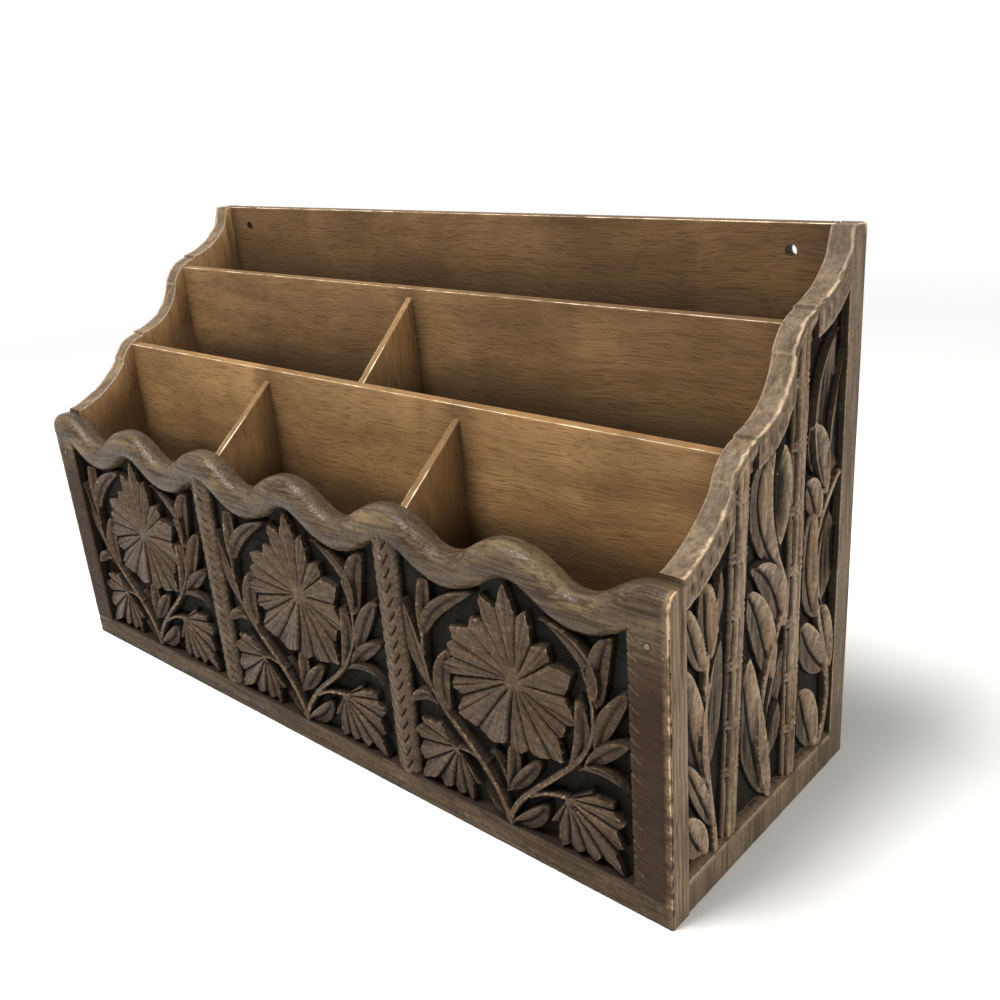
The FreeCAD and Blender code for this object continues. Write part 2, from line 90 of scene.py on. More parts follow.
class Slot(Enum):
    """The record's material slots for the carved and the plain walnut."""

    CARVED = "carved_walnut"
    PLAIN = "plain_walnut"


class GrainWay(Enum):
    """The direction that a board's grain runs in."""

    ACROSS = "x"
    UPRIGHT = "z"


class Hand(Enum):
    """The end of the holder that a piece belongs to, as the sign of its X."""

    LEFT = -1
    RIGHT = 1


class ColumnCut(Enum):
    """How the notches of a column run."""

    ROPE = "rope"
    BRAID = "braid"


class StripKind(Enum):
    """What stands in one strip of a carved face."""

    STILE = "stile"
    FIELD = "field"
    COLUMN = "column"
    POLE = "pole"


# The leaf motif of the front: across from the middle of its field, up from the base of the holder.
# A leaf is its base, the point its spine passes halfway, its tip and its width.
FRONT_FIELD_WIDTH = 89.5
FRONT_LEAVES: tuple[LeafSpec, ...] = (
    ((-35, 66.5), (-29, 78.5), (-12.5, 88), 5.2),
    ((-34.5, 66.5), (-34.5, 78.5), (-33, 90.5), 4.4),
    ((-33.5, 46), (-40, 61), (-43.5, 78), 8.5),
    ((-30.5, 41.5), (-37.5, 44), (-44, 39), 4.6),
    ((-27, 41.5), (-29, 53.5), (-24.5, 65.5), 5.6),
    ((32.5, 66.5), (28.5, 79), (14, 87.5), 6),
    ((34, 65), (34, 78.5), (38.5, 89), 6.4),
    ((32, 50.5), (36.5, 62), (43.5, 73), 5.4),
    ((28, 43), (35, 50.5), (43.5, 56.5), 5.2),
    ((22, 39.5), (26.5, 50.5), (26.5, 66), 4.4),
    ((25.5, 41), (34, 43.5), (43.5, 40.5), 3.4),
    ((-3, 9.5), (-9, 12.5), (-12.5, 18), 4),
    ((-2.5, 9.5), (6, 14.5), (12, 22.5), 6.2),
    ((-2.5, 22), (-0.5, 32), (-1, 39), 4),
    ((-2, 22), (4, 29.5), (10, 37), 5),
    ((-3.5, 21), (-5, 28), (-9.5, 34), 3.4),
)
# A stem is the poles of its curve and its width.
FRONT_STEMS: tuple[StemSpec, ...] = (
    (((-3, 9.5), (-10, 36), (-41, 38), (-35, 68)), 2.3),
    (((-3, 11), (3, 32), (43, 42), (29, 76)), 2.2),
    (((-12.5, 27.5), (-18.5, 30.5), (-24.3, 29)), 1.6),
    (((6, 23.5), (13, 28.5), (20.8, 29)), 1.6),
)
# The big leaf and the corner fans: each lobe is its direction in degrees, its length, and the share of the
# shorter neighbour's length that is left at the notch after it.
ROSETTE_CENTRE: Point = (2.7, 63.2)
ROSETTE_LOBES: tuple[LobeSpec, ...] = (
    (-172, 32, 0.93), (-158, 29.5, 0.90), (-142, 33, 1.04), (-114, 28.5, 0.92),
    (-92, 26.5, 0.95), (-76, 25.5, 1.03), (-53, 28, 0.97), (-37, 21.5, 0.93),
    (-18, 23.4, 0.77), (22, 23.2, 0.84), (50, 19.8, 0.76), (77, 25.2, 0.83), (94, 31.5, 0.78),
    (117, 28, 0.82), (136, 23.5, 0.92), (158, 28.5, 0.89), (172, 28.5, 0.88),
)
LEFT_FAN_HINGE: Point = (-24.3, 29)
RIGHT_FAN_HINGE: Point = (20.8, 29)
FAN_LOBES: tuple[LobeSpec, ...] = (
    (144, 11, 0.95), (163, 17.5, 0.92), (181, 20.5, 0.86), (206, 21.5, 0.93), (225, 27.5, 0.93),
    (245, 21, 0.94), (264, 19, 0.93), (283, 19.5, 0.82), (304, 14, 1),
)

# The leaf sprays of the sides: back from the front edge of their column, up from its floor.
FRONT_SPRAY_LEAVES: tuple[LeafSpec, ...] = (
    ((10.5, 2), (5.2, 10.5), (1, 21), 10),
    ((15.1, 9), (8.4, 24), (0.6, 39), 5.5),
    ((9.7, 27.5), (4.6, 47.5), (0.5, 69), 11),
    ((11.5, 27.5), (15, 48), (19.5, 72), 12),
    ((10.4, 63.5), (5.8, 74.5), (1.8, 86.5), 6),
    ((13.1, 66.5), (12.6, 78), (12, 90), 7.5),
    ((17.5, 72.5), (19.2, 82.5), (19, 93), 6),
)
FRONT_SPRAY_STEMS: tuple[StemSpec, ...] = (
    (((16, 0.5), (16, 14), (7.5, 34), (12, 68)), 2.2),
)
MIDDLE_SPRAY_LEAVES: tuple[LeafSpec, ...] = (
    ((13.4, 0.5), (3.6, 27.5), (-1.5, 58), 12.5),
    ((13.4, 43), (9, 60.5), (-0.5, 78), 10.5),
    ((20.7, 57.5), (14.5, 73.5), (2.6, 84), 9.5),
    ((10.1, 24), (17.4, 37.5), (20.7, 51), 11),
    ((13, 13), (17.4, 22.5), (18.3, 33), 10),
    ((17.4, 77), (6.5, 100), (12.5, 116.5), 10),
    ((16.7, 86), (18.4, 102.5), (18, 116.5), 10),
)
HOLLOW_LEAF = 6
MIDDLE_SPRAY_STEMS: tuple[StemSpec, ...] = (
    (((13.4, 0.5), (2.5, 24), (6.5, 47), (22, 63.5)), 2.4),
    (((22, 63.5), (24.5, 72), (15, 80), (13, 92)), 2.2),
)
REAR_SPRAY_LEAVES: tuple[LeafSpec, ...] = (
    ((10.5, 94), (8.2, 120), (15.5, 143), 13.5),
    ((13.5, 96), (19, 113), (20.5, 136), 14),
    ((10.6, 92), (6.4, 107), (-0.2, 116.5), 10),
    ((6.6, 85.5), (3.4, 94), (-1.5, 100.5), 8),
    ((12, 53.5), (13.6, 69.5), (14, 86), 15.5),
    ((8.5, 50), (2.2, 68), (4.6, 88), 8),
    ((17, 27), (6.6, 38.5), (-2, 53), 11.5),
    ((9.4, 0.5), (4, 15.5), (-1.5, 28.5), 12),
    ((18.2, 27.5), (16, 40.5), (12.5, 53.5), 6.5),
)
REAR_SPRAY_STEMS: tuple[StemSpec, ...] = (
    (((12.6, 0.5), (28, 26), (4.5, 44), (4.6, 77)), 2.4),
    (((4.6, 77), (8, 87), (20, 96.5)), 2.2),
)


# Arithmetic on arrays

def node_box(node: str) -> tuple[Array, Array]:
    """Find a CAD node's lowest and highest corners, in millimetres."""
    low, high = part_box(node)
    return np.array(low) / MILLIMETRE, np.array(high) / MILLIMETRE


def stations(start: float, end: float, step: float) -> Array:
    """Spread stations evenly from start to end, at most a step apart."""
    return np.linspace(start, end, max(1, math.ceil(abs(end - start) / step)) + 1)


def smooth_step(value: Array, low: float, high: float) -> Array:
    """Rise smoothly from 0 at low to 1 at high."""
    share = np.clip((value - low) / (high - low), 0.0, 1.0)
    return share * share * (3.0 - 2.0 * share)


def notch(offset: Array, width: float) -> Array:
    """A rounded notch: 1 on its line and next to nothing a width away."""
    return np.exp(-((offset / width) ** 2))


def off_line(value: Array, pitch: float) -> Array:
    """Signed distance to the nearest of the lines that repeat at a pitch."""
    return (value / pitch - np.round(value / pitch)) * pitch


def blurred(values: Array, radius: int) -> Array:
    """Blur a grid of values with two passes of a box.

    Args:
        values: The grid.
        radius: Half the box's width, in cells.

    Returns:
        A blurred grid of the same shape.
    """
    result = values
    for axis in (0, 1, 0, 1):
        pad = [(0, 0), (0, 0)]
        pad[axis] = (radius + 1, radius)
        total = np.cumsum(np.pad(result, pad, mode="edge"), axis=axis)
        width = 2 * radius + 1
        if axis == 0:
            result = (total[width:] - total[:-width]) / width
        else:
            result = (total[:, width:] - total[:, :-width]) / width
    return result


class Lattice:
    """Smooth noise between the seeded values of a square lattice."""

    SIDE = 128

    def __init__(self, seed: int) -> None:
        """Draw the lattice's values from a seed."""
        self.values = np.random.default_rng(seed).uniform(-1.0, 1.0, (self.SIDE, self.SIDE))

    def at(self, u: Array, v: Array, pitch_u: float, pitch_v: float) -> Array:
        """Read the noise.

        Args:
            u: First coordinates.
            v: Second coordinates.
            pitch_u: Distance between lattice values along the first coordinate.
            pitch_v: Distance between lattice values along the second.

        Returns:
            The noise, between -1 and 1.
        """
        a = np.asarray(u) / pitch_u
        b = np.asarray(v) / pitch_v
        a0 = np.floor(a).astype(int)
        b0 = np.floor(b).astype(int)
        fa = smooth_step(a - a0, 0.0, 1.0)
        fb = smooth_step(b - b0, 0.0, 1.0)
        a0 %= self.SIDE
        b0 %= self.SIDE
        a1 = (a0 + 1) % self.SIDE
        b1 = (b0 + 1) % self.SIDE
        low = self.values[a0, b0] * (1 - fa) + self.values[a1, b0] * fa
        high = self.values[a0, b1] * (1 - fa) + self.values[a1, b1] * fa
        return low * (1 - fb) + high * fb


# Carved forms, each in the coordinates of its field

class Spine:
    """A bent line that a leaf or a stem follows."""

    STEPS = 18

    def __init__(self, poles: Sequence[Point]) -> None:
        """Sample the curve of these poles."""
        share = np.linspace(0.0, 1.0, self.STEPS + 1)[:, None]
        rows = [np.repeat(np.array(pole)[None, :], self.STEPS + 1, axis=0) for pole in poles]
        while len(rows) > 1:
            rows = [a * (1 - share) + b * share for a, b in zip(rows, rows[1:])]
        self.points = rows[0]

    def nearest(self, u: Array, v: Array) -> tuple[Array, Array]:
        """Find each point's place by the line.

        Args:
            u: First coordinates of the points.
            v: Second coordinates of the points.

        Returns:
            The share of the way along, and the distance aside, positive to the left.
        """
        best = np.full(u.shape, np.inf)
        share = np.zeros(u.shape)
        aside = np.zeros(u.shape)
        for index, (start, end) in enumerate(zip(self.points, self.points[1:])):
            run = end - start
            along = np.clip(((u - start[0]) * run[0] + (v - start[1]) * run[1]) / (run @ run), 0.0, 1.0)
            du = u - start[0] - along * run[0]
            dv = v - start[1] - along * run[1]
            gap = np.hypot(du, dv)
            closer = gap < best
            best = np.where(closer, gap, best)
            share = np.where(closer, (index + along) / self.STEPS, share)
            aside = np.where(closer, gap * np.sign(run[0] * dv - run[1] * du), aside)
        return share, aside


def walled(height: Array, beyond: Array) -> Array:
    """Give a form steep walls round its outline, and OUTSIDE past their foot."""
    wall = height - WALL_FALL * np.clip(beyond / WALL_RUN, 0.0, 1.0)
    return np.where(beyond < WALL_RUN, wall, OUTSIDE)


class CarvedForm(ABC):
    """A form that stands on the ground of a sunk field."""

    @abstractmethod
    def reach(self) -> tuple[Array, Array]:
        """The lowest and highest corners of what the form covers."""

    @abstractmethod
    def measure(self, u: Array, v: Array) -> tuple[Array, Array]:
        """Measure the form.

        Args:
            u: First coordinates of the points.
            v: Second coordinates of the points.

        Returns:
            The height of its surface, negative below the face, and the distance beyond its outline.
        """

    def covers(self, u: Array, v: Array) -> Array:
        """Which points lie within the form's reach."""
        low, high = self.reach()
        return (u >= low[0]) & (u <= high[0]) & (v >= low[1]) & (v <= high[1])

    def rise(self, u: Array, v: Array) -> Array:
        """The height of the form with its walls, and OUTSIDE beside it."""
        return walled(*self.measure(u, v))

    def pull(self, u: Array, v: Array) -> tuple[Array, Array, Array]:
        """Find the way to the outline.

        Args:
            u: First coordinates of the points.
            v: Second coordinates of the points.

        Returns:
            Each point's distance to the outline, and the step along both coordinates that takes it there.
        """
        beyond = self.measure(u, v)[1]
        slope_u = (self.measure(u + NUDGE, v)[1] - beyond) / NUDGE
        slope_v = (self.measure(u, v + NUDGE)[1] - beyond) / NUDGE
        steep = np.maximum(slope_u ** 2 + slope_v ** 2, 0.25)
        return np.abs(beyond) / np.sqrt(steep), -beyond * slope_u / steep, -beyond * slope_v / steep


@dataclass(frozen=True)
class Leaf(CarvedForm):
    """A slender leaf that leans to its outer edge and has a vein cut along its middle."""

    base: Point
    through: Point
    tip: Point
    width: float
    sink: float = 0.4
    lean: float = 1.8
    dish: float = 0.20
    vein_depth: float = 0.7
    vein_width: float = 0.55
    fullness: float = 0.72

    def spine(self) -> Spine:
        """The line from base to tip."""
        bend = 2 * np.array(self.through) - (np.array(self.base) + np.array(self.tip)) / 2
        return Spine((self.base, tuple(bend), self.tip))

    def reach(self) -> tuple[Array, Array]:
        """The lowest and highest corners of what the leaf covers."""
        points = self.spine().points
        return points.min(axis=0) - self.width, points.max(axis=0) + self.width

    def measure(self, u: Array, v: Array) -> tuple[Array, Array]:
        """Measure the leaf, as CarvedForm asks."""
        share, aside = self.spine().nearest(u, v)
        half = self.width / 2 * np.maximum(4 * share * (1 - share), 1e-6) ** self.fullness
        across = aside / np.maximum(half, 0.05)
        outward = 1.0 if self.tip[0] < self.base[0] else -1.0
        fall = self.lean * np.clip(0.5 + 0.5 * outward * across, 0.0, 1.0) ** 1.3
        vein = self.vein_depth * notch(aside, self.vein_width) * smooth_step(half, 0.6, 1.6)
        hollow = self.dish * half * np.clip(1.0 - across ** 2, 0.0, 1.0)
        return -self.sink - fall - hollow - vein, np.abs(aside) - half


@dataclass(frozen=True)
class Stem(CarvedForm):
    """A stem of rounded section that thins towards its end."""

    poles: tuple[Point, ...]
    width: float
    sink: float = 0.3
    crown: float = 1.1
    groove: float = 0.6
    groove_width: float = 0.5
    groove_shift: float = 0.15
    end_share: float = 0.75

    def reach(self) -> tuple[Array, Array]:
        """The lowest and highest corners of what the stem covers."""
        points = Spine(self.poles).points
        return points.min(axis=0) - self.width, points.max(axis=0) + self.width

    def measure(self, u: Array, v: Array) -> tuple[Array, Array]:
        """Measure the stem, as CarvedForm asks."""
        share, aside = Spine(self.poles).nearest(u, v)
        half = self.width / 2 * (1 - (1 - self.end_share) * share)
        across = aside / half
        line = self.groove * notch(aside - self.groove_shift * half, self.groove_width)
        return -self.sink - self.crown * np.minimum(across ** 4, 1.0) - line, np.abs(aside) - half


@dataclass(frozen=True)
class LobedLeaf(CarvedForm):
    """A leaf of pointed lobes that spread from one point, each with veins and a cut to its notch."""

    centre: Point
    lobes: tuple[LobeSpec, ...]
    closed: bool
    centre_sink: float = 0.5
    tip_sink: float = 1.5
    valley: float = 0.65
    tilt: float = 0.4
    cut_depth: float = 0.6
    cut_width: float = 0.42
    unevenness: float = 0.6
    uneven_turn: float = 0.37
    vein_depth: float = 0.5
    vein_width: float = 0.42
    fine_depth: float = 0.28
    plain_radius: float = 0.5
    ribbed_radius: float = 8.0
    edge_slope: float = 0.7

    def ring(self) -> Array:
        """Lay out the outline.

        Returns:
            Rows of bearing in degrees, radius, and 1 at a tip or 0 at a notch, by rising bearing.
        """
        rows = []
        for index, (angle, length, share) in enumerate(self.lobes):
            rows.append((angle, length, 1.0))
            if index == len(self.lobes) - 1 and not self.closed:
                break
            after, after_length, _ = self.lobes[(index + 1) % len(self.lobes)]
            gap = (after - angle) % 360.0
            rows.append((angle + gap / 2, share * min(length, after_length), 0.0))
        return np.array(rows)

    def reach(self) -> tuple[Array, Array]:
        """The lowest and highest corners of what the leaf covers."""
        longest = max(length for _, length, _ in self.lobes)
        return np.array(self.centre) - longest, np.array(self.centre) + longest

    def measure(self, u: Array, v: Array) -> tuple[Array, Array]:
        """Measure the leaf, as CarvedForm asks."""
        du = u - self.centre[0]
        dv = v - self.centre[1]
        radius = np.hypot(du, dv)
        ring = self.ring()
        bearing = np.degrees(np.arctan2(dv, du))
        bearing = ring[0, 0] + (bearing - ring[0, 0]) % 360.0
        if self.closed:
            ring = np.vstack([ring, ring[0] + (360.0, 0.0, 0.0)])
        angles = ring[:, 0]
        place = np.clip(np.searchsorted(angles, bearing, side="right") - 1, 0, len(angles) - 2)
        over = np.minimum(bearing - angles[-1], 360.0 + angles[0] - bearing)
        beside = radius * np.sin(np.radians(np.clip(over, 0.0, 90.0)))
        share = np.clip((bearing - angles[place]) / (angles[place + 1] - angles[place]), 0.0, 1.0)
        after_tip = ring[place, 2] > 0.5
        off = np.where(after_tip, share, 1 - share)
        tip = np.where(after_tip, ring[place, 1], ring[place + 1, 1])
        root = np.where(after_tip, ring[place + 1, 1], ring[place, 1])
        tip_bearing = np.where(after_tip, angles[place], angles[place + 1])
        root_bearing = np.where(after_tip, angles[place + 1], angles[place])
        edge = tip - (tip - root) * off
        ribs = smooth_step(radius, self.plain_radius, self.ribbed_radius)
        fall = (self.tip_sink - self.centre_sink) * (radius / tip) ** 2

        def aside(line: Array) -> Array:
            """Distance aside from a line out of the centre."""
            return radius * np.sin(np.radians(bearing - line))

        lines = self.cut_depth * notch(aside(root_bearing), self.cut_width)
        lively = 1 + self.unevenness * np.sin(self.uneven_turn * tip_bearing)
        lines = lines - self.tilt * lively * np.where(after_tip, off, -off)
        lines = lines + self.vein_depth * notch(aside(tip_bearing), self.vein_width) * (2 - lively)
        fine = 0.5 * (tip_bearing + root_bearing)
        outward = smooth_step(radius / edge, 0.3, 0.5)
        lines = lines + self.fine_depth * notch(aside(fine), self.vein_width) * outward
        depth = self.centre_sink + fall + ribs * (self.valley * (2 - lively) * off ** 1.6 + lines)
        return -depth, np.maximum(self.edge_slope * (radius - edge), beside)


def carve(u: Array, v: Array, forms: Sequence[CarvedForm], ground: float) -> Array:
    """Carve a sunk field.

    Args:
        u: First coordinates of the field's points.
        v: Second coordinates of the field's points.
        forms: What stands in the field.
        ground: How far the ground lies below the face.

    Returns:
        The depth below the face at each point.
    """
    height = np.full(u.shape, -ground)
    for form in forms:
        near = form.covers(u, v)
        if near.any():
            height[near] = np.maximum(height[near], form.rise(u[near], v[near]))
    return -height


def snap(u: Array, v: Array, forms: Sequence[CarvedForm], ground: float) -> tuple[Array, Array]:
    """Draw the points next to an outline onto it, so that the edge of a form runs clean.

    Args:
        u: First coordinates of the field's points.
        v: Second coordinates of the field's points.
        forms: What stands in the field.
        ground: How far the ground lies below the face.

    Returns:
        The step of each point along both coordinates.
    """
    step_u = np.zeros(u.shape)
    step_v = np.zeros(u.shape)
    nearest = np.full(u.shape, SNAP_REACH)
    top = -carve(u, v, forms, ground)
    for form in forms:
        near = form.covers(u, v)
        if not near.any():
            continue
        away, du, dv = form.pull(u[near], v[near])
        shown = form.measure(u[near], v[near])[0] > top[near] - SNAP_COVER
        closer = shown & (away < nearest[near])
        nearest[near] = np.where(closer, away, nearest[near])
        step_u[near] = np.where(closer, du, step_u[near])
        step_v[near] = np.where(closer, dv, step_v[near])
    return step_u, step_v


def spray_forms(leaves: Sequence[LeafSpec], stems: Sequence[StemSpec]) -> list[CarvedForm]:
    """The leaves and stems of one motif as carved forms."""
    forms: list[CarvedForm] = [Leaf(*leaf) for leaf in leaves]
    return forms + [Stem(*stem) for stem in stems]


# Meshes

def in_scene(name: str, data: bpy.types.ID) -> Piece:
    """Make an object and link it to the scene."""
    made = bpy.data.objects.new(name, data)
    bpy.context.scene.collection.objects.link(made)
    return made


class Draft:
    """Grids of points, in millimetres, that become one mesh."""

    WELD = 2.0e-6
    CREASE = math.radians(50.0)

    def __init__(self) -> None:
        """Start with nothing."""
        self.points: list[Array] = []
        self.triangles: list[Array] = []
        self.uvs: list[Array] = []
        self.finish: list[Array] = []
        self.values: dict[str, list[Array]] = {"depth": [], "wear": [], "polish": []}
        self.count = 0

    def add(self, points: Array, tile: Tile, flip: bool = False,
            finish: Array | int = 0, **values: Array) -> None:
        """Add a grid.

        Args:
            points: Its points, as rows by columns by three.
            tile: Left, low, right and high edges of its place in the bake's square.
            flip: Whether its faces turn the other way.
            finish: Index of the material, one or one per column of faces.
            values: Depth (the painted shade that the finishes read, and the dark growth lines of an end),
                wear and polish at its points, each 0 where it isn't given.
        """
        rows, columns = points.shape[:2]
        index = np.arange(rows * columns).reshape(rows, columns) + self.count
        corners = [index[:-1, :-1], index[1:, :-1], index[1:, 1:], index[:-1, 1:]]
        across = np.linspace(tile[0], tile[2], rows)[:, None] * np.ones(columns)
        upward = np.linspace(tile[1], tile[3], columns)[None, :] * np.ones((rows, 1))
        square = np.stack([across, upward], axis=-1)
        spots = [square[:-1, :-1], square[1:, :-1], square[1:, 1:], square[:-1, 1:]]
        if flip:
            corners.reverse()
            spots.reverse()
        flat = points.reshape(-1, 3)
        a, b, c, d = (flat[corner - self.count] for corner in corners)
        first = np.linalg.norm(a - c, axis=-1) <= np.linalg.norm(b - d, axis=-1)
        self.points.append(flat)
        self.triangles.append(self.split(corners, first).reshape(-1, 3))
        self.uvs.append(self.split(spots, first[:, :, None]).swapaxes(-1, -2).reshape(-1, 2))
        per_face = np.broadcast_to(np.asarray(finish), (rows - 1, columns - 1))
        self.finish.append(np.repeat(per_face.reshape(-1), 2))
        for name, store in self.values.items():
            given = values.get(name, np.zeros((rows, columns)))
            store.append(np.broadcast_to(given, (rows, columns)).reshape(-1))
        self.count += rows * columns

    @staticmethod
    def split(corners: Sequence[Array], first: Array) -> Array:
        """Split faces of four corners into triangles.

        Args:
            corners: The four corners of every face.
            first: Whether a face is split from its first corner to its third, and not from its second.

        Returns:
            The corners of both triangles of every face, with the corner as the last axis.
        """
        a, b, c, d = corners
        one = np.stack([a, b, np.where(first, c, d)], axis=-1)
        two = np.stack([np.where(first, a, b), c, d], axis=-1)
        return np.stack([one, two], axis=2)

    def make(self, name: str, materials: Sequence[Material]) -> Piece:
        """Make the object, with coinciding points welded.

        Args:
            name: The piece's name.
            materials: Its materials, in the order of the finish indices.

        Returns:
            The new object, linked to the scene.
        """
        points = np.clip(np.concatenate(self.points) * MILLIMETRE, *np.array(CAD_BOX))
        triangles = np.concatenate(self.triangles)
        mesh = bpy.data.meshes.new(name)
        mesh.vertices.add(len(points))
        mesh.vertices.foreach_set("co", points.astype(np.float32).ravel())
        mesh.loops.add(triangles.size)
        mesh.loops.foreach_set("vertex_index", triangles.astype(np.int32).ravel())
        mesh.polygons.add(len(triangles))
        mesh.polygons.foreach_set("loop_start", np.arange(0, triangles.size, 3, dtype=np.int32))
        mesh.polygons.foreach_set("material_index", np.concatenate(self.finish).astype(np.int32))
        layer = mesh.uv_layers.new(name="OFBake")
        layer.uv.foreach_set("vector", np.concatenate(self.uvs).astype(np.float32).ravel())
        for label, store in self.values.items():
            attribute = mesh.attributes.new(label, "FLOAT", "POINT")
            attribute.data.foreach_set("value", np.concatenate(store).astype(np.float32))
        mesh.update(calc_edges=True)
        welded = bmesh.new()
        welded.from_mesh(mesh)
        bmesh.ops.remove_doubles(welded, verts=welded.verts, dist=self.WELD)
        welded.to_mesh(mesh)
        welded.free()
        mesh.validate()
        mesh.shade_smooth()
        mesh.set_sharp_from_angle(angle=self.CREASE)
        for material in materials:
            mesh.materials.append(material)
        return in_scene(name, mesh)


def settle(piece: Piece, node: str) -> Piece:
    """Tie a piece to the frame.

    Args:
        piece: The piece.
        node: The CAD node that it stands for.

    Returns:
        The piece.
    """
    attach(piece, BODY)
    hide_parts(node)
    return piece


# Materials

class Nodes:
    """A material's node tree, with one method for each kind of node that the finishes use."""

    BEND_SCALE = 28.0
    FIRST_COLOUR = 6
    SECOND_COLOUR = 7
    MIXED_COLOUR = 2

    def __init__(self, name: str) -> None:
        """Start a material with its shader and the object's own coordinates."""
        self.material = bpy.data.materials.new(name)
        self.material.use_nodes = True
        self.tree = self.material.node_tree
        self.shader = self.tree.nodes["Principled BSDF"]
        self.place = self.tree.nodes.new("ShaderNodeTexCoord").outputs["Object"]

    def put(self, value: object, socket: Socket) -> None:
        """Link a socket to an output, or set it to a constant."""
        if isinstance(value, Socket):
            self.tree.links.new(value, socket)
        elif isinstance(value, tuple) and len(value) == 3 and socket.type == "RGBA":
            socket.default_value = (*value, 1.0)
        else:
            socket.default_value = value

    def add(self, kind: str, **inputs: object) -> bpy.types.Node:
        """Add a node.

        Args:
            kind: Its type, without the words that every shader node's type starts with.
            inputs: What its inputs are set or linked to, by name with _ for a space.

        Returns:
            The node.
        """
        node = self.tree.nodes.new("ShaderNode" + kind)
        for label, value in inputs.items():
            self.put(value, node.inputs[label.replace("_", " ")])
        return node

    def vector(self, operation: str, *values: object) -> Socket:
        """The result of one operation on vectors."""
        node = self.add("VectorMath")
        node.operation = operation
        for value, socket in zip(values, node.inputs):
            self.put(value, socket)
        return node.outputs["Value" if operation == "LENGTH" else "Vector"]

    def bent(self, amount: float) -> Socket:
        """The object's coordinates, bent by up to an amount in metres."""
        bend = self.add("TexNoise", Vector=self.place, Scale=self.BEND_SCALE).outputs["Color"]
        centred = self.vector("SUBTRACT", bend, (0.5, 0.5, 0.5))
        return self.vector("MULTIPLY_ADD", centred, (2 * amount,) * 3, self.place)

    def noise(self, scale: tuple[float, ...], detail: float = 3.0, roughness: float = 0.55,
              distortion: float = 0.0, bend: float = 0.0) -> Socket:
        """Noise with these cycles per metre along X, Y and Z, bent by up to an amount in metres."""
        place = self.bent(bend) if bend else self.place
        stretched = self.add("Mapping", Vector=place, Scale=scale).outputs["Vector"]
        return self.add("TexNoise", Vector=stretched, Scale=1.0, Detail=detail, Roughness=roughness,
                        Distortion=distortion).outputs["Fac"]

    def span(self, value: Socket, low: float, high: float, to_low: float = 0.0,
             to_high: float = 1.0) -> Socket:
        """A value's place between two others, clamped and mapped to a new span."""
        return self.add("MapRange", Value=value, From_Min=low, From_Max=high, To_Min=to_low,
                        To_Max=to_high).outputs["Result"]

    def sum(self, operation: str, first: object, second: object) -> Socket:
        """The result of one arithmetic operation, clamped between 0 and 1."""
        node = self.add("Math")
        node.operation = operation
        node.use_clamp = True
        self.put(first, node.inputs[0])
        self.put(second, node.inputs[1])
        return node.outputs["Value"]

    def blend(self, factor: object, first: object, second: object) -> Socket:
        """Two colours mixed."""
        node = self.add("Mix")
        node.data_type = "RGBA"
        self.put(factor, node.inputs["Factor"])
        self.put(first, node.inputs[self.FIRST_COLOUR])
        self.put(second, node.inputs[self.SECOND_COLOUR])
        return node.outputs[self.MIXED_COLOUR]

    def attribute(self, name: str) -> Socket:
        """A value that the mesh carries."""
        node = self.add("Attribute")
        node.attribute_name = name
        return node.outputs["Fac"]

    def facing(self, way: GrainWay) -> Socket:
        """How squarely a surface faces out of a board: 1 for the board's face, 0 for a wall cut into it."""
        split = self.add("SeparateXYZ", Vector=self.add("NewGeometry").outputs["Normal"])
        return self.sum("ABSOLUTE", split.outputs["Y" if way is GrainWay.ACROSS else "X"], 0.0)

    def bump(self, height: Socket, strength: float, distance: float,
             under: Socket | None = None) -> Socket:
        """A normal bent by a height, on top of another one where it is given."""
        node = self.add("Bump", Strength=strength, Distance=distance, Height=height)
        if under is not None:
            self.put(under, node.inputs["Normal"])
        return node.outputs["Normal"]

    def close(self, colour: object, roughness: object, normal: object = None,
              **sockets: float) -> Material:
        """Fill the shader.

        Args:
            colour: Base colour.
            roughness: Roughness.
            normal: Bent normal, if any.
            sockets: Other constants, by socket name with _ for a space.

        Returns:
            The finished material.
        """
        self.put(colour, self.shader.inputs["Base Color"])
        self.put(roughness, self.shader.inputs["Roughness"])
        if normal is not None:
            self.put(normal, self.shader.inputs["Normal"])
        for label, value in sockets.items():
            self.shader.inputs[label.replace("_", " ")].default_value = value
        return self.material


def white_rays(tree: bpy.types.NodeTree) -> Socket:
    """Tell apart the rays that see the studio white.

    Args:
        tree: The node tree that asks.

    Returns:
        1 for a ray from the camera, a mirrored one or one through glass, and 0 for the rest.
    """
    path = tree.nodes.new("ShaderNodeLightPath")
    seen = path.outputs["Is Camera Ray"]
    for ray in ("Is Glossy Ray", "Is Transmission Ray"):
        either = tree.nodes.new("ShaderNodeMath")
        either.operation = "MAXIMUM"
        tree.links.new(seen, either.inputs[0])
        tree.links.new(path.outputs[ray], either.inputs[1])
        seen = either.outputs["Value"]
    return seen


class Finish(ABC):
    """A finish that becomes a material."""

    @abstractmethod
    def make(self, name: str) -> Material:
        """Make the material.

        Args:
            name: Its name.

        Returns:
            The material.
        """


def grain_scale(way: GrainWay, along: float, across: float) -> tuple[float, float, float]:
    """Cycles per metre along X, Y and Z for a grain that runs one way."""
    return (along, across, across) if way is GrainWay.ACROSS else (across, across, along)


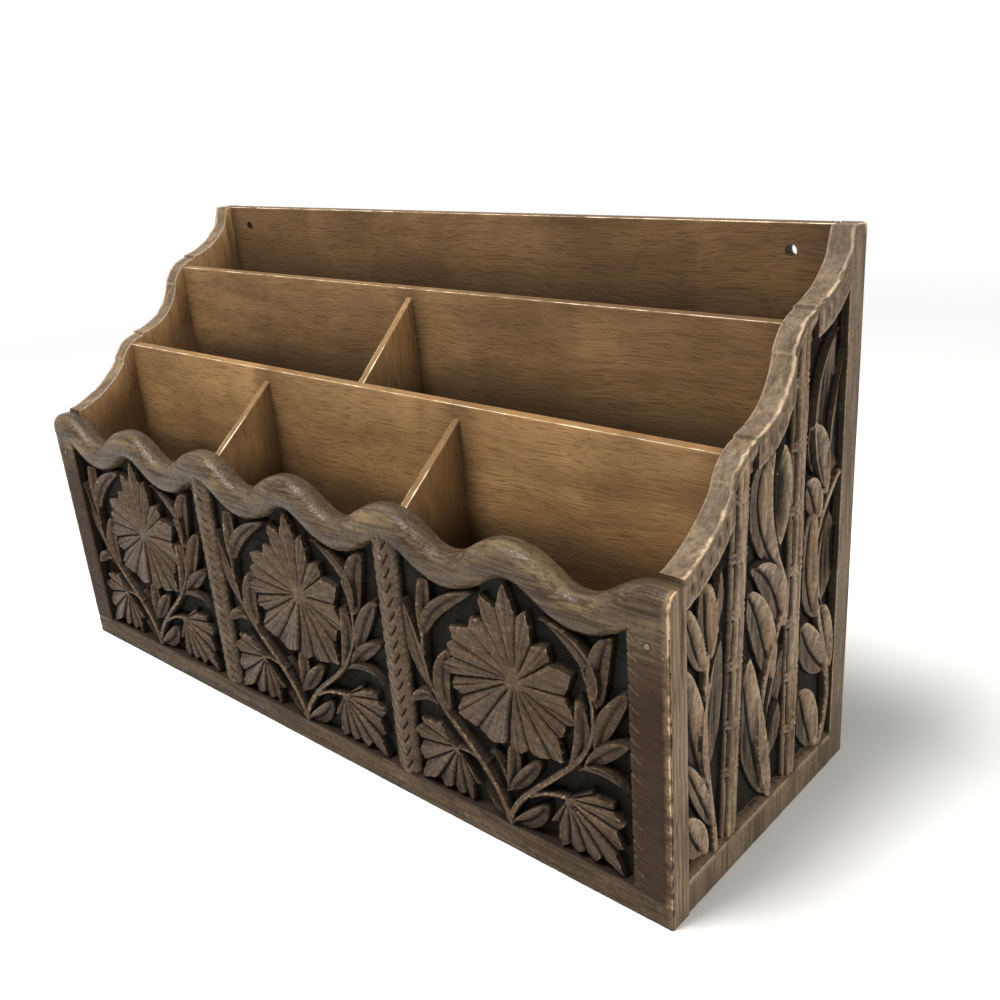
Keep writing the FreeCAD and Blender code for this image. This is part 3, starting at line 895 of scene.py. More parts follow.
@dataclass(frozen=True)
class CarvedWalnut(Finish):
    """Old dark walnut, worn pale at its edges and handled smooth on its rail, with painted shade that
    blackens its hollows, painted highlights on its crests and a painted sheen on its rail.
    """

    way: GrainWay
    face: Colour = (0.040, 0.021, 0.010)
    band: Colour = (0.024, 0.012, 0.006)
    relief: Colour = (0.110, 0.077, 0.051)
    # Near-black colour that the painted shade in the hollows and on the cut walls goes to.
    shade_and_grime: Colour = (0.006, 0.004, 0.003)
    dust: Colour = (0.022, 0.020, 0.015)
    worn: Colour = (0.200, 0.125, 0.070)
    bare: Colour = (0.50, 0.37, 0.22)
    # The handled rail's own greyer tone together with a painted sheen.
    sheen: Colour = (0.122, 0.091, 0.058)
    gold: Colour = (0.215, 0.150, 0.074)
    tint: Colour = (0.085, 0.052, 0.028)
    relief_lines: float = 0.4
    specular: float = 0.11

    def make(self, name: str) -> Material:
        """Make the material, as Finish asks."""
        nodes = Nodes(name)
        # The depth attribute is the painted shade: it marks the relief, the dusty ground and how dark the
        # hollows are painted.
        depth = nodes.attribute("depth")
        wear = nodes.attribute("wear")
        polish = nodes.attribute("polish")
        bands = nodes.noise(grain_scale(self.way, 14.0, 130.0), detail=4.0, distortion=0.6)
        fibre = nodes.noise(grain_scale(self.way, 60.0, 1500.0))
        patch = nodes.noise((38.0,) * 3)
        speck = nodes.noise((700.0,) * 3, detail=2.0)
        streak = nodes.noise(grain_scale(self.way, 22.0, 520.0), detail=4.0, bend=0.002)
        grit = nodes.noise((600.0,) * 3, detail=4.0, roughness=0.65)
        wood = nodes.blend(nodes.span(bands, 0.35, 0.68), self.face, self.band)
        wood = nodes.blend(nodes.span(patch, 0.42, 0.70, 0.0, 0.45), wood, self.band)
        raised = nodes.span(depth, 0.055, 0.10)
        cut = nodes.sum("MULTIPLY", raised, nodes.span(bands, 0.30, 0.60, 0.95, 0.45))
        wood = nodes.blend(cut, wood, self.relief)
        warm = nodes.sum("MULTIPLY", raised, nodes.span(patch, 0.36, 0.56, 0.7, 0.0))
        wood = nodes.blend(warm, wood, self.tint)
        # Polished parts take the sheen colour: the handled wood's tone plus a painted sheen.
        rubbed = nodes.sum("MULTIPLY", polish, nodes.span(fibre, 0.40, 0.58, 0.15, 1.0))
        wood = nodes.blend(rubbed, wood, self.sheen)
        mottle = nodes.noise(grain_scale(self.way, 36.0, 110.0), detail=4.0)
        golden = nodes.sum("MULTIPLY", polish, nodes.span(mottle, 0.50, 0.68, 0.0, 0.65))
        wood = nodes.blend(golden, wood, self.gold)
        wood = nodes.blend(nodes.span(fibre, 0.50, 0.66, 0.0, 0.6), wood, self.band)
        lined = nodes.sum("MULTIPLY", nodes.span(streak, 0.48, 0.62, 0.0, 0.7),
                          nodes.span(raised, 0.0, 1.0, 1.0, self.relief_lines))
        wood = nodes.blend(lined, wood, self.band)
        wood = nodes.blend(nodes.span(grit, 0.54, 0.70, 0.0, 0.6), wood, self.band)
        # Pale flecks on the relief: wood texture, partly painted glints.
        pale = nodes.sum("MULTIPLY", raised, nodes.span(grit, 0.30, 0.46, 0.5, 0.0))
        wood = nodes.blend(pale, wood, self.worn)
        # Worn pale edges and bare arrises; on the crests of the relief the pale edges are partly painted
        # highlights.
        edge = nodes.sum("MULTIPLY", wear, nodes.span(speck, 0.3, 0.7, 0.6, 1.4))
        wood = nodes.blend(nodes.span(edge, 0.08, 0.45, 0.0, 0.85), wood, self.worn)
        wood = nodes.blend(nodes.span(edge, 0.60, 0.85), wood, self.bare)
        # Painted glints: specks of bare colour on the worn edges of the relief.
        painted_glint = nodes.sum("MULTIPLY", nodes.span(wear, 0.04, 0.16), nodes.span(grit, 0.36, 0.44, 0.4, 0.0))
        painted_glint = nodes.sum("MULTIPLY", painted_glint, raised)
        wood = nodes.blend(painted_glint, wood, self.bare)
        # Painted shade: walls cut into the board go dark, and so do the hollows, the deeper the darker; dust
        # lies on the open ground.
        wall = nodes.sum("MULTIPLY", nodes.span(nodes.facing(self.way), 0.30, 0.65, 0.85, 0.0),
                         nodes.span(depth, 0.06, 0.12))
        hollow_shade = nodes.sum("MAXIMUM", nodes.span(depth, 0.30, 0.75), wall)
        dusty = nodes.sum("MULTIPLY", nodes.span(depth, 0.80, 1.0), nodes.span(patch, 0.42, 0.62, 0.0, 0.8))
        wood = nodes.blend(hollow_shade, wood, nodes.blend(dusty, self.shade_and_grime, self.dust))
        rough = nodes.sum("ADD", nodes.span(grit, 0.35, 0.65, 0.28, 0.48),
                          nodes.span(raised, 0.0, 1.0, 0.22, 0.0))
        rough = nodes.sum("SUBTRACT", rough, nodes.span(polish, 0.5, 1.0, 0.0, 0.34))
        rough = nodes.sum("ADD", rough, nodes.span(hollow_shade, 0.0, 1.0, 0.0, 0.35))
        normal = nodes.bump(fibre, 0.50, 0.00030)
        normal = nodes.bump(streak, 0.50, 0.00060, normal)
        normal = nodes.bump(speck, 0.30, 0.00050, normal)
        normal = nodes.bump(grit, 0.45, 0.00040, normal)
        return nodes.close(wood, rough, normal, Specular_IOR_Level=self.specular)


@dataclass(frozen=True)
class EndGrain(Finish):
    """The sawn end of a carved board: upright growth lines, and a bare arris."""

    light: Colour = (0.246, 0.171, 0.109)
    dark: Colour = (0.040, 0.024, 0.014)
    bare: Colour = (0.50, 0.35, 0.19)
    roughness: float = 0.6
    specular: float = 0.08

    def make(self, name: str) -> Material:
        """Make the material, as Finish asks."""
        nodes = Nodes(name)
        rings = nodes.noise((800.0, 640.0, 24.0), detail=4.0, roughness=0.65, bend=0.0006)
        fibre = nodes.noise((2200.0, 2200.0, 140.0), detail=2.0)
        speck = nodes.noise((700.0,) * 3, detail=2.0)
        wood = nodes.blend(nodes.span(rings, 0.46, 0.64), self.light, self.dark)
        wood = nodes.blend(nodes.span(fibre, 0.50, 0.75, 0.0, 0.6), wood, self.dark)
        wood = nodes.blend(nodes.span(nodes.attribute("depth"), 0.0, 1.0), wood, self.dark)
        edge = nodes.sum("ADD", nodes.attribute("wear"), nodes.span(speck, 0.3, 0.7, -0.2, 0.2))
        wood = nodes.blend(nodes.span(edge, 0.55, 0.85), wood, self.bare)
        normal = nodes.bump(rings, 0.6, 0.0005)
        normal = nodes.bump(fibre, 0.3, 0.0002, normal)
        return nodes.close(wood, self.roughness, normal, Specular_IOR_Level=self.specular)


@dataclass(frozen=True)
class PlainWalnut(Finish):
    """Planed walnut boards, golden brown, with dark wavy grain, pale worn arrises and painted shade where
    their depth attribute asks for it.
    """

    way: GrainWay
    light: Colour = (0.392, 0.226, 0.095)
    dark: Colour = (0.206, 0.114, 0.048)
    pore: Colour = (0.085, 0.045, 0.020)
    shade_and_grime: Colour = (0.020, 0.011, 0.006)
    worn: Colour = (0.66, 0.56, 0.40)
    glow: Colour = (0.440, 0.268, 0.120)
    specular: float = 0.10

    def make(self, name: str) -> Material:
        """Make the material, as Finish asks."""
        nodes = Nodes(name)
        wear = nodes.attribute("wear")
        broad = nodes.noise(grain_scale(self.way, 5.0, 30.0), distortion=1.0)
        bands = nodes.noise(grain_scale(self.way, 12.0, 260.0), detail=4.0, bend=0.005)
        pores = nodes.noise(grain_scale(self.way, 95.0, 2000.0), detail=4.0, bend=0.003)
        speck = nodes.noise((110.0,) * 3, detail=4.0)
        stain = nodes.noise((16.0,) * 3, detail=5.0)
        bloom = nodes.noise((27.0,) * 3, detail=5.0, distortion=0.8)
        wood = nodes.blend(nodes.span(broad, 0.30, 0.70), self.light, self.dark)
        wood = nodes.blend(nodes.span(bloom, 0.50, 0.70, 0.0, 0.5), wood, self.glow)
        wood = nodes.blend(nodes.span(bands, 0.45, 0.72, 0.0, 0.6), wood, self.dark)
        wood = nodes.blend(nodes.span(pores, 0.51, 0.63, 0.0, 0.5), wood, self.pore)
        wood = nodes.blend(nodes.span(stain, 0.46, 0.70, 0.0, 0.65), wood, self.pore)
        # Painted shade from the depth attribute, low down, under the board in front and in the corners, with
        # grime on the tops.
        wood = nodes.blend(nodes.attribute("depth"), wood, self.shade_and_grime)
        edge = nodes.sum("ADD", wear, nodes.span(speck, 0.3, 0.7, -0.25, 0.25))
        wood = nodes.blend(nodes.span(edge, 0.40, 0.75), wood, self.worn)
        rough = nodes.span(bands, 0.3, 0.7, 0.50, 0.62)
        normal = nodes.bump(pores, 0.45, 0.0003)
        normal = nodes.bump(bands, 0.15, 0.0004, normal)
        return nodes.close(wood, rough, normal, Specular_IOR_Level=self.specular)


@dataclass(frozen=True)
class PinMetal(Finish):
    """Steel of the pins, dulled and freckled with age."""

    bright: Colour = (0.18, 0.155, 0.125)
    dull: Colour = (0.10, 0.08, 0.06)

    def make(self, name: str) -> Material:
        """Make the material, as Finish asks."""
        nodes = Nodes(name)
        freckles = nodes.noise((1600.0,) * 3)
        colour = nodes.blend(nodes.span(freckles, 0.5, 0.7), self.bright, self.dull)
        rough = nodes.span(freckles, 0.3, 0.7, 0.30, 0.55)
        return nodes.close(colour, rough, nodes.bump(freckles, 0.2, 0.0001), Metallic=1.0)


@dataclass(frozen=True)
class PaleFloor(Finish):
    """A plain pale studio floor that turns into the white background away from the holder."""

    colour: Colour = (0.80, 0.80, 0.79)
    roughness: float = 0.9
    specular: float = 0.1
    near: float = 0.30
    far: float = 0.95

    def make(self, name: str) -> Material:
        """Make the material, as Finish asks."""
        nodes = Nodes(name)
        fade = nodes.span(nodes.vector("LENGTH", nodes.place), self.near, self.far)
        mix = nodes.add("MixShader", Fac=nodes.sum("MULTIPLY", white_rays(nodes.tree), fade))
        nodes.put(nodes.shader.outputs["BSDF"], mix.inputs[1])
        nodes.put(nodes.add("Emission").outputs["Emission"], mix.inputs[2])
        nodes.put(mix.outputs["Shader"], nodes.tree.nodes["Material Output"].inputs["Surface"])
        return nodes.close(self.colour, self.roughness, Specular_IOR_Level=self.specular)


# Carved boards

@dataclass
class Strip:
    """One strip of a carved board's face between two upright lines."""

    kind: StripKind
    left: float
    right: float
    step: float


@dataclass
class FaceGrid:
    """The points of a carved face, as upright lines by rows, and what its finish needs at each of them.

    The rows before first lie on the board's foot, and those from second on lie on its rail or rim.
    """

    strips: Sequence[Strip]
    strip_of: Array
    along: Array
    up: Array
    top: Array
    first: int
    second: int
    depth: Array = field(init=False)
    wear: Array = field(init=False)
    polish: Array = field(init=False)
    # Painted shade, which the finishes read from the depth attribute.
    shade: Array = field(init=False)

    def ends(self) -> Array:
        """Where the upright lines reach the top, as a column."""
        return self.along[:, -1:]

    def lines_of(self, index: int) -> Array:
        """The upright lines of one strip."""
        return np.flatnonzero(self.strip_of == index)

    def between(self, index: int) -> tuple[Array, ...]:
        """What picks out one strip's points between the foot and the rail."""
        return np.ix_(self.lines_of(index), np.arange(self.first, self.second))

    def inside(self, index: int) -> tuple[Array, ...]:
        """What picks out one strip's points, all but those on its border."""
        return np.ix_(self.lines_of(index)[1:-1], np.arange(self.first + 1, self.second - 1))

    def move(self, picked: tuple[Array, ...], steps: tuple[Array, Array]) -> None:
        """Move points by their steps along and up."""
        self.along[picked] += steps[0]
        self.up[picked] += steps[1]


class CarvedBoard(ABC):
    """A board with one carved face, in coordinates along it, up it and into it."""

    GAP = 0.06
    BACK_FALL = np.linspace(1.0, 0.0, 9)[1:]
    END_STEP = 0.45
    LEAST_DEPTH = 0.02
    FOOT_ROUND = (0.0, 0.1, 0.3, 0.6)
    FACE_TILE: Tile = (0.01, 0.01, 0.88, 0.99)

    @abstractmethod
    def world(self, along: Array, up: Array, into: Array) -> Array:
        """Points of the holder for points of the board."""

    @abstractmethod
    def carve_face(self, grid: FaceGrid) -> Array:
        """Carve a face.

        Args:
            grid: Its points.

        Returns:
            Depth below the face at each of them.
        """

    @abstractmethod
    def worn(self, grid: FaceGrid) -> Array:
        """Find how worn a carved face is at each of its points, with the painted highlights on its crests,
        between 0 and 1.
        """

    @abstractmethod
    def polished(self, grid: FaceGrid) -> Array:
        """Find how smooth hands have rubbed a face at each of its points, between 0 and 1."""

    @abstractmethod
    def painted_shade(self, grid: FaceGrid) -> Array:
        """Find the painted shade at each point of a carved face, between 0 and 1, most of it deep in its
        hollows.
        """

    def finish_face(self, grid: FaceGrid) -> FaceGrid:
        """Carve a face, age it and paint its shade.

        Args:
            grid: Its points.

        Returns:
            The same grid, with all its values.
        """
        grid.depth = self.carve_face(grid)
        grid.wear = self.worn(grid)
        grid.polish = self.polished(grid)
        grid.shade = self.painted_shade(grid)
        return grid

    def edge_line(self, grid: FaceGrid, roof: Array, index: int) -> Array:
        """Points round one end of the board, over its carved face and its top."""
        face = self.world(grid.along[index], grid.up[index], grid.depth[index])
        return np.concatenate([face, roof[index]])

    def wrap(self, grid: FaceGrid, roof: Array, flip: bool = False, **tails: Array | float) -> Draft:
        """Start a board's mesh with its carved face, its top and the plain face that falls from it.

        Args:
            grid: The carved face.
            roof: Points of the top, from the carved face on.
            flip: Whether the faces turn the other way.
            tails: Depth (painted shade), wear and polish over the top, down the plain face and back to the
                start.

        Returns:
            The draft, with the carved finish as its first and the plain one as its second.
        """
        sheet = self.world(grid.along, grid.up, grid.depth)
        fall = roof[:, -1:, 2] * self.BACK_FALL
        wall = self.world(grid.ends() * np.ones(fall.shape), fall, np.full(fall.shape, self.thick))
        whole = np.concatenate([sheet, roof, wall, sheet[:, :1]], axis=1)
        extra = whole.shape[1] - sheet.shape[1]
        finish = np.zeros(whole.shape[1] - 1, dtype=int)
        finish[sheet.shape[1] + roof.shape[1] - 1:] = 1
        values = {}
        # The painted shade goes into the depth attribute.
        for label, face in (("depth", grid.shade), ("wear", grid.wear), ("polish", grid.polish)):
            tail = np.broadcast_to(tails[label], (len(face), extra))
            values[label] = np.concatenate([face, tail], axis=1)
        draft = Draft()
        draft.add(whole, self.FACE_TILE, flip=flip, finish=finish, **values)
        return draft

    @staticmethod
    def crest_wear(depth: Array, radius: int, height: float) -> Array:
        """Wear with its painted highlight, from 0 to 1, on what stands above its surroundings."""
        return np.clip((blurred(depth, radius) - depth) / height, 0.0, 1.0)

    @staticmethod
    def cavity(depth: Array, radius: int, height: float) -> Array:
        """Painted shade in what lies below its surroundings, with the same arguments as crest_wear."""
        return np.clip((depth - blurred(depth, radius)) / height, 0.0, 1.0)

    @staticmethod
    def arris(offset: Array, radius: float) -> Array:
        """Depth of a rounded arris, at an offset in from the edge."""
        inside = np.clip(1.0 - offset / radius, 0.0, 1.0)
        return radius * (1.0 - np.sqrt(1.0 - inside ** 2))


@dataclass
class CarvedFront(CarvedBoard):
    """The carved front: wavy rail, stiles, two columns and three sunk panels, in three lengths."""

    bay_count: int = 3
    bay_margin: float = 4.75
    column_width: float = 11.5
    stile_width: float = 13.0
    bottom_rail: float = 9.0
    ground: float = 5.0
    rail_width: float = 11.5
    rail_round: float = 4.6
    wave_height: float = 9.5
    waves_per_bay: int = 2
    flank_share: float = 0.8
    pin_drop: float = 16.0
    pin_seat: float = 1.3
    pin_seat_depth: float = 0.4
    face_level: float = 0.18
    end_arris: float = 1.0
    lap: float = 9.0
    rope_pitch: float = 4.1
    rope_slant: float = 0.75
    braid_pitch: float = 5.2
    braid_slant: float = 1.7
    braid_ridge: float = 0.5
    groove_depth: float = 1.15
    groove_width: float = 0.6
    tick_pitch: float = 5.5
    tick_slant: float = 0.8
    tick_depth: float = 0.6
    tick_width: float = 0.5
    stile_pin: float = 6.25
    ring_depth: float = 0.16
    field_step: float = 0.36
    column_step: float = 0.3
    stile_step: float = 0.5
    foot_step: float = 0.8
    field_height: float = 82.0
    rail_lines: int = 31
    low: Array = field(default_factory=lambda: node_box("front_panel")[0])
    high: Array = field(default_factory=lambda: node_box("front_panel")[1])

    def __post_init__(self) -> None:
        """Work out the wave and the places of the columns."""
        self.half = float(self.high[0])
        self.thick = float(self.high[1] - self.low[1])
        self.height = float(self.high[2])
        self.bay = (2 * self.half - 2 * self.bay_margin) / self.bay_count
        self.columns = (-self.bay / 2, self.bay / 2)
        self.marks = Lattice(11)
        self.centre_line = self.height - self.rail_width / 2 - self.wave_height / 2
        self.low_edge, self.top_edge = self.wave_edges()

    def world(self, along: Array, up: Array, into: Array) -> Array:
        """Points of the holder for points of the board."""
        return np.stack([along, self.low[1] + into, up], axis=-1)

    def wave_edges(self) -> tuple[Array, Array]:
        """Trace the rail.

        Returns:
            Points of its lower and of its upper edge, each as rows of across and up.
        """
        half_wave = self.bay / self.waves_per_bay / 2
        angle = self.flank_share * 2 * math.atan(self.wave_height / half_wave)
        radius = ((half_wave * math.sin(angle) - self.wave_height * math.cos(angle))
                  / (2 * (1 - math.cos(angle))))
        x = np.linspace(-self.half - half_wave, self.half + half_wave, 2400)
        turn = np.round(x / half_wave)
        crest = np.where(turn % 2 == 0, 1.0, -1.0)
        off = x - turn * half_wave
        side = radius * math.sin(angle)
        bent = radius - np.sqrt(radius ** 2 - np.minimum(np.abs(off), side) ** 2)
        straight = np.maximum(np.abs(off) - side, 0.0) * math.tan(angle)
        z = self.centre_line + crest * (self.wave_height / 2 - bent - straight)
        slope = np.gradient(z, x)
        length = np.hypot(1.0, slope)
        across = self.rail_width / 2 * np.stack([-slope / length, 1 / length], axis=-1)
        middle = np.stack([x, z], axis=-1)
        return middle - across, middle + across

    def motif(self) -> list[CarvedForm]:
        """The big leaf, the fans and the sprays of a panel."""
        before = FAN_LOBES[-2::-1] + FAN_LOBES[:1]
        mirrored = tuple((180.0 - angle, length, share)
                         for (angle, length, _), (_, _, share) in zip(FAN_LOBES[::-1], before))
        forms = spray_forms(FRONT_LEAVES, FRONT_STEMS)
        forms.append(LobedLeaf(ROSETTE_CENTRE, ROSETTE_LOBES, closed=True))
        forms.append(LobedLeaf(LEFT_FAN_HINGE, FAN_LOBES, closed=False, ribbed_radius=4.0))
        forms.append(LobedLeaf(RIGHT_FAN_HINGE, mirrored, closed=False, ribbed_radius=4.0))
        return forms

    def column_depth(self, off: Array, up: Array, cut: ColumnCut) -> Array:
        """Measure a column.

        Args:
            off: Distance right of its middle.
            up: Height above the base.
            cut: How its notches run.

        Returns:
            Depth below the face.
        """
        share = off / (self.column_width / 2)
        flanks = 1.7 * np.abs(share) ** 1.25 + 0.8 * smooth_step(np.abs(share), 0.86, 1.0)
        if cut is ColumnCut.ROPE:
            lines = off_line(up + self.rope_slant * off, self.rope_pitch)
            cut_share = 1 - smooth_step(off, 1.8, 3.6)
        else:
            ridge = self.braid_ridge
            rise = np.where(off < ridge, ridge - off, self.braid_slant * (off - ridge))
            lines = off_line(up - rise, self.braid_pitch)
            cut_share = 1 - smooth_step(off, 2.2, 3.4)
        groove = self.groove_depth * notch(lines, self.groove_width) * cut_share
        fine = 0.25 * notch(off_line(up - 0.9 * off, 2.6), 0.4) * (1 - cut_share)
        fine = fine * smooth_step(share, 0.5, 0.8)
        return self.face_level + flanks + groove + fine

    def stile_depth(self, x: Array, up: Array) -> Array:
        """Depth of a stile, with small slanting ticks along both its edges on the right."""
        inner = np.abs(x) - (self.half - self.stile_width)
        outer = self.half - np.abs(x)
        slant = up + self.tick_slant * inner + 1.2 * self.marks.at(up, x * 0, 8.0, 1.0)
        ticks = self.tick_depth * notch(off_line(slant, self.tick_pitch), self.tick_width)
        rim = (1 - smooth_step(outer, 1.6, 3.2)) * smooth_step(outer, 0.9, 1.5)
        near = np.maximum(1 - smooth_step(inner, 2.2, 4.6), rim)
        right = smooth_step(x, 0.0, 1.0)
        bow = 0.25 * (1 - smooth_step(inner, 0.0, 1.2))
        return self.face_level + ticks * near * right + bow

    def rail_depth(self, across: Array) -> Array:
        """Depth of the rail, at a share of its half width from its middle line."""
        return self.rail_round * (1 - np.sqrt(np.maximum(1 - np.abs(across) ** 2.5, 0.0)))

    def strips(self, part: int) -> list[Strip]:
        """The strips of one length of the board: 0 on the left, 1 in the middle, 2 on the right."""
        edge = self.half - self.stile_width
        inner = self.bay / 2 - self.column_width / 2
        outer = self.bay / 2 + self.column_width / 2
        middles = self.columns
        borders = (-self.half, -edge, -outer, middles[0], -inner, inner, middles[1], outer, edge, self.half)
        gaps = [0.0 if border in (-self.half, *middles, self.half) else self.GAP for border in borders]
        steps = {StripKind.STILE: self.stile_step, StripKind.FIELD: self.field_step,
                 StripKind.COLUMN: self.column_step}
        kinds = (StripKind.STILE, StripKind.FIELD, StripKind.COLUMN, StripKind.COLUMN, StripKind.FIELD,
                 StripKind.COLUMN, StripKind.COLUMN, StripKind.FIELD, StripKind.STILE)
        strips = [Strip(kind, borders[place] + gaps[place], borders[place + 1] - gaps[place + 1], steps[kind])
                  for place, kind in enumerate(kinds)]
        return strips[3 * part:3 * part + 3]

    def motif_place(self, strip: Strip, x: Array, up: Array) -> tuple[Array, Array]:
        """Coordinates in the motif, a little different in each panel, for points of a sunk field."""
        middle = (strip.left + strip.right) / 2
        across = (x - middle) * FRONT_FIELD_WIDTH / (strip.right - strip.left + 2 * self.GAP)
        across = across + 0.6 * self.marks.at(x + 17, up, 21.0, 17.0)
        return across, up + 0.5 * self.marks.at(x, up + 9, 19.0, 23.0)

    def face_depth(self, strip: Strip, x: Array, up: Array) -> Array:
        """Depth of the face in a strip, below the rail."""
        if strip.kind is StripKind.STILE:
            return self.stile_depth(x, up)
        if strip.kind is StripKind.COLUMN:
            nearest = self.columns[0] if x.mean() < 0 else self.columns[1]
            cut = ColumnCut.ROPE if nearest < 0 else ColumnCut.BRAID
            return self.column_depth(x - nearest, up, cut)
        across, upward = self.motif_place(strip, x, up)
        depth = carve(across, upward, self.motif(), self.ground)
        chips = 0.22 * self.marks.at(x, up, 2.4, 3.1) + 0.12 * self.marks.at(x + 40, up, 0.9, 1.1)
        return depth + np.where(depth > self.ground - 0.01, chips - 0.25, 0.15 * chips)

    def rail_share(self) -> Array:
        """The rows of the rail, as shares of its half width from its middle line."""
        return np.sin(np.linspace(-0.5, 0.5, self.rail_lines) * math.pi)

    def lay_out(self, part: int) -> FaceGrid:
        """Lay out the points of one length of the face.

        Args:
            part: 0 on the left, 1 in the middle, 2 on the right.

        Returns:
            The points, with those next to an outline drawn onto it.
        """
        strips = self.strips(part)
        lines = [stations(strip.left, strip.right, strip.step) for strip in strips]
        if part == 0:
            lines[0] = np.concatenate([self.end_lines(-1), lines[0][3:]])
        if part == self.bay_count - 1:
            lines[-1] = np.concatenate([lines[-1][:-3], self.end_lines(1)])
        strip_of = np.concatenate([np.full(len(line), index) for index, line in enumerate(lines)])
        x = np.concatenate(lines)[:, None]
        low = np.interp(x, self.low_edge[:, 0], self.low_edge[:, 1])
        top = np.interp(x, self.top_edge[:, 0], self.top_edge[:, 1])
        foot = np.concatenate([self.FOOT_ROUND, stations(1.0, self.bottom_rail - self.GAP, self.foot_step)])
        field_share = stations(0.0, 1.0, self.field_step / self.field_height)
        floor = self.bottom_rail + self.GAP
        up = np.concatenate([
            np.ones(x.shape) * foot,
            floor + field_share * (low - self.GAP - floor),
            low + (self.rail_share() + 1) / 2 * (top - low),
        ], axis=1)
        first = len(foot)
        grid = FaceGrid(strips, strip_of, x * np.ones(up.shape[1]), up, top, first, first + len(field_share))
        for index, strip in enumerate(strips):
            if strip.kind is StripKind.FIELD:
                inner = grid.inside(index)
                place = self.motif_place(strip, grid.along[inner], grid.up[inner])
                grid.move(inner, snap(*place, self.motif(), self.ground))
        return grid

    def carve_face(self, grid: FaceGrid) -> Array:
        """Carve one length of the face, as CarvedBoard asks."""
        x, up, first, second = grid.along, grid.up, grid.first, grid.second
        depth = np.zeros(x.shape)
        across = self.rail_share()
        rail = self.rail_depth(across)
        for index, strip in enumerate(grid.strips):
            mine = grid.lines_of(index)
            face = self.face_depth(strip, x[mine], up[mine])
            depth[mine] = face
            depth[mine, :first] = self.face_level + self.arris(up[mine, :first], 0.7)
            joined = np.minimum(rail, face[:, second:])
            runs_up = (strip.kind is not StripKind.FIELD) & (across < 0.0)
            depth[mine, second:] = np.where(runs_up, joined, rail)
        depth += 0.05 * self.marks.at(x, up, 9.0, 5.0) + 0.05 * self.marks.at(x + 60, up, 1.1, 0.8)
        depth[:, :first] += 0.13 * self.marks.at(x, up, 42.0, 0.75)[:, :first]
        end = self.half - np.abs(x)
        ragged = self.end_arris * (1.0 + 0.45 * self.marks.at(up, up * 0, 2.1, 5.0))
        depth += np.where(end < ragged, self.arris(end, 1.0) * ragged, 0.0)
        for pin in (*self.columns, -self.half + self.stile_pin, self.half - self.stile_pin):
            seat = np.hypot(x - pin, up - (self.height - self.pin_drop))
            depth = np.where(seat < self.pin_seat, np.maximum(depth, self.pin_seat_depth), depth)
        return np.clip(depth, self.LEAST_DEPTH, None)

    def broken_arris(self, up: Array) -> Array:
        """How far the arris of an end is worn at each height, most of all by the rail."""
        chips = 0.8 * self.marks.at(up, up * 0, 3.2, 1.0)
        return np.clip(0.7 + chips + 0.4 * smooth_step(up, 80.0, 95.0), 0, 1)

    def worn(self, grid: FaceGrid) -> Array:
        """Wear of one length of the face, as CarvedBoard asks."""
        first, second = grid.first, grid.second
        end = self.half - np.abs(grid.along)
        broken = self.broken_arris(grid.up)
        # Crests get pale worn colour, partly painted highlight.
        wear = 0.22 * self.crest_wear(grid.depth, 2, 1.5)
        wear[:, first - 2:first + 2] *= 0.2
        wear = np.maximum(wear, broken * (1 - smooth_step(end, 0.15, 0.9)))
        wear = np.maximum(wear, 0.36 * (0.4 + 0.6 * broken) * (1 - smooth_step(end, 0.6, 3.0)))
        off_arris = np.abs(grid.ends()[:, 0]) < self.half - 3.0
        for index, strip in enumerate(grid.strips):
            if strip.kind is StripKind.STILE:
                wear[(grid.strip_of == index) & off_arris] *= 0.3
            if strip.kind is StripKind.COLUMN:
                # The column ridges' pale edges are partly painted highlights.
                wear[grid.between(index)] *= 1.8
        wear[:, second:] *= np.where(end[:, second:] < 2.5, 1.0, 0.35)
        return wear

    def polished(self, grid: FaceGrid) -> Array:
        """Polish of one length of the face, full on the rail and fading down the stiles."""
        first, second = grid.first, grid.second
        polish = np.zeros(grid.up.shape)
        polish[:, second:] = 1.0
        polish[:, :first] = 0.5
        low = np.interp(grid.ends(), self.low_edge[:, 0], self.low_edge[:, 1])
        fading = 0.75 * (1 - smooth_step(low - grid.up[:, first:second], -4.0, 24.0))
        for index, strip in enumerate(grid.strips):
            mine = grid.lines_of(index)
            if strip.kind is StripKind.COLUMN:
                polish[mine, first:second] = 0.3
            if strip.kind is StripKind.STILE:
                polish[mine, first:second] = fading[mine]
                polish[mine, second:] = 0.8
        return polish

    def painted_shade(self, grid: FaceGrid) -> Array:
        """Painted shade of one length of the face, as CarvedBoard asks."""
        depth, first, second = grid.depth, grid.first, grid.second
        # Painted shade: deeper points go darker, and hollows more so.
        shade = np.clip(depth / self.ground, 0.0, 1.0)
        shade = np.clip(shade + 0.3 * self.cavity(depth, 3, 0.8), 0.0, 1.0)
        # Painted shade: the panels go darker towards the bottom.
        low_shade = 0.15 * (1 - smooth_step(grid.up, 12.0, 52.0))
        shade[:, first:second] += (low_shade * smooth_step(depth, 0.3, 0.8))[:, first:second]
        for index, strip in enumerate(grid.strips):
            mine = grid.between(index)
            if strip.kind is StripKind.COLUMN:
                shade[mine] = np.maximum(shade[mine], 0.11)
            if strip.kind is StripKind.STILE:
                # Painted shade in the cut ticks of the stile.
                below = depth[mine] - self.face_level
                shade[mine] = 0.04 + 0.6 * smooth_step(below, 0.25, 0.6)
        shade[:, second:] *= 0.08
        shade[:, first] = np.minimum(shade[:, first], 0.55)
        return shade

    def end_lines(self, sign: int) -> Array:
        """Close lines by the end of the board, in rising order."""
        lines = self.half - np.array([1.5, 1.0, 0.75, 0.5, 0.3, 0.15, 0.05, 0.0])
        return lines if sign > 0 else -lines[::-1]

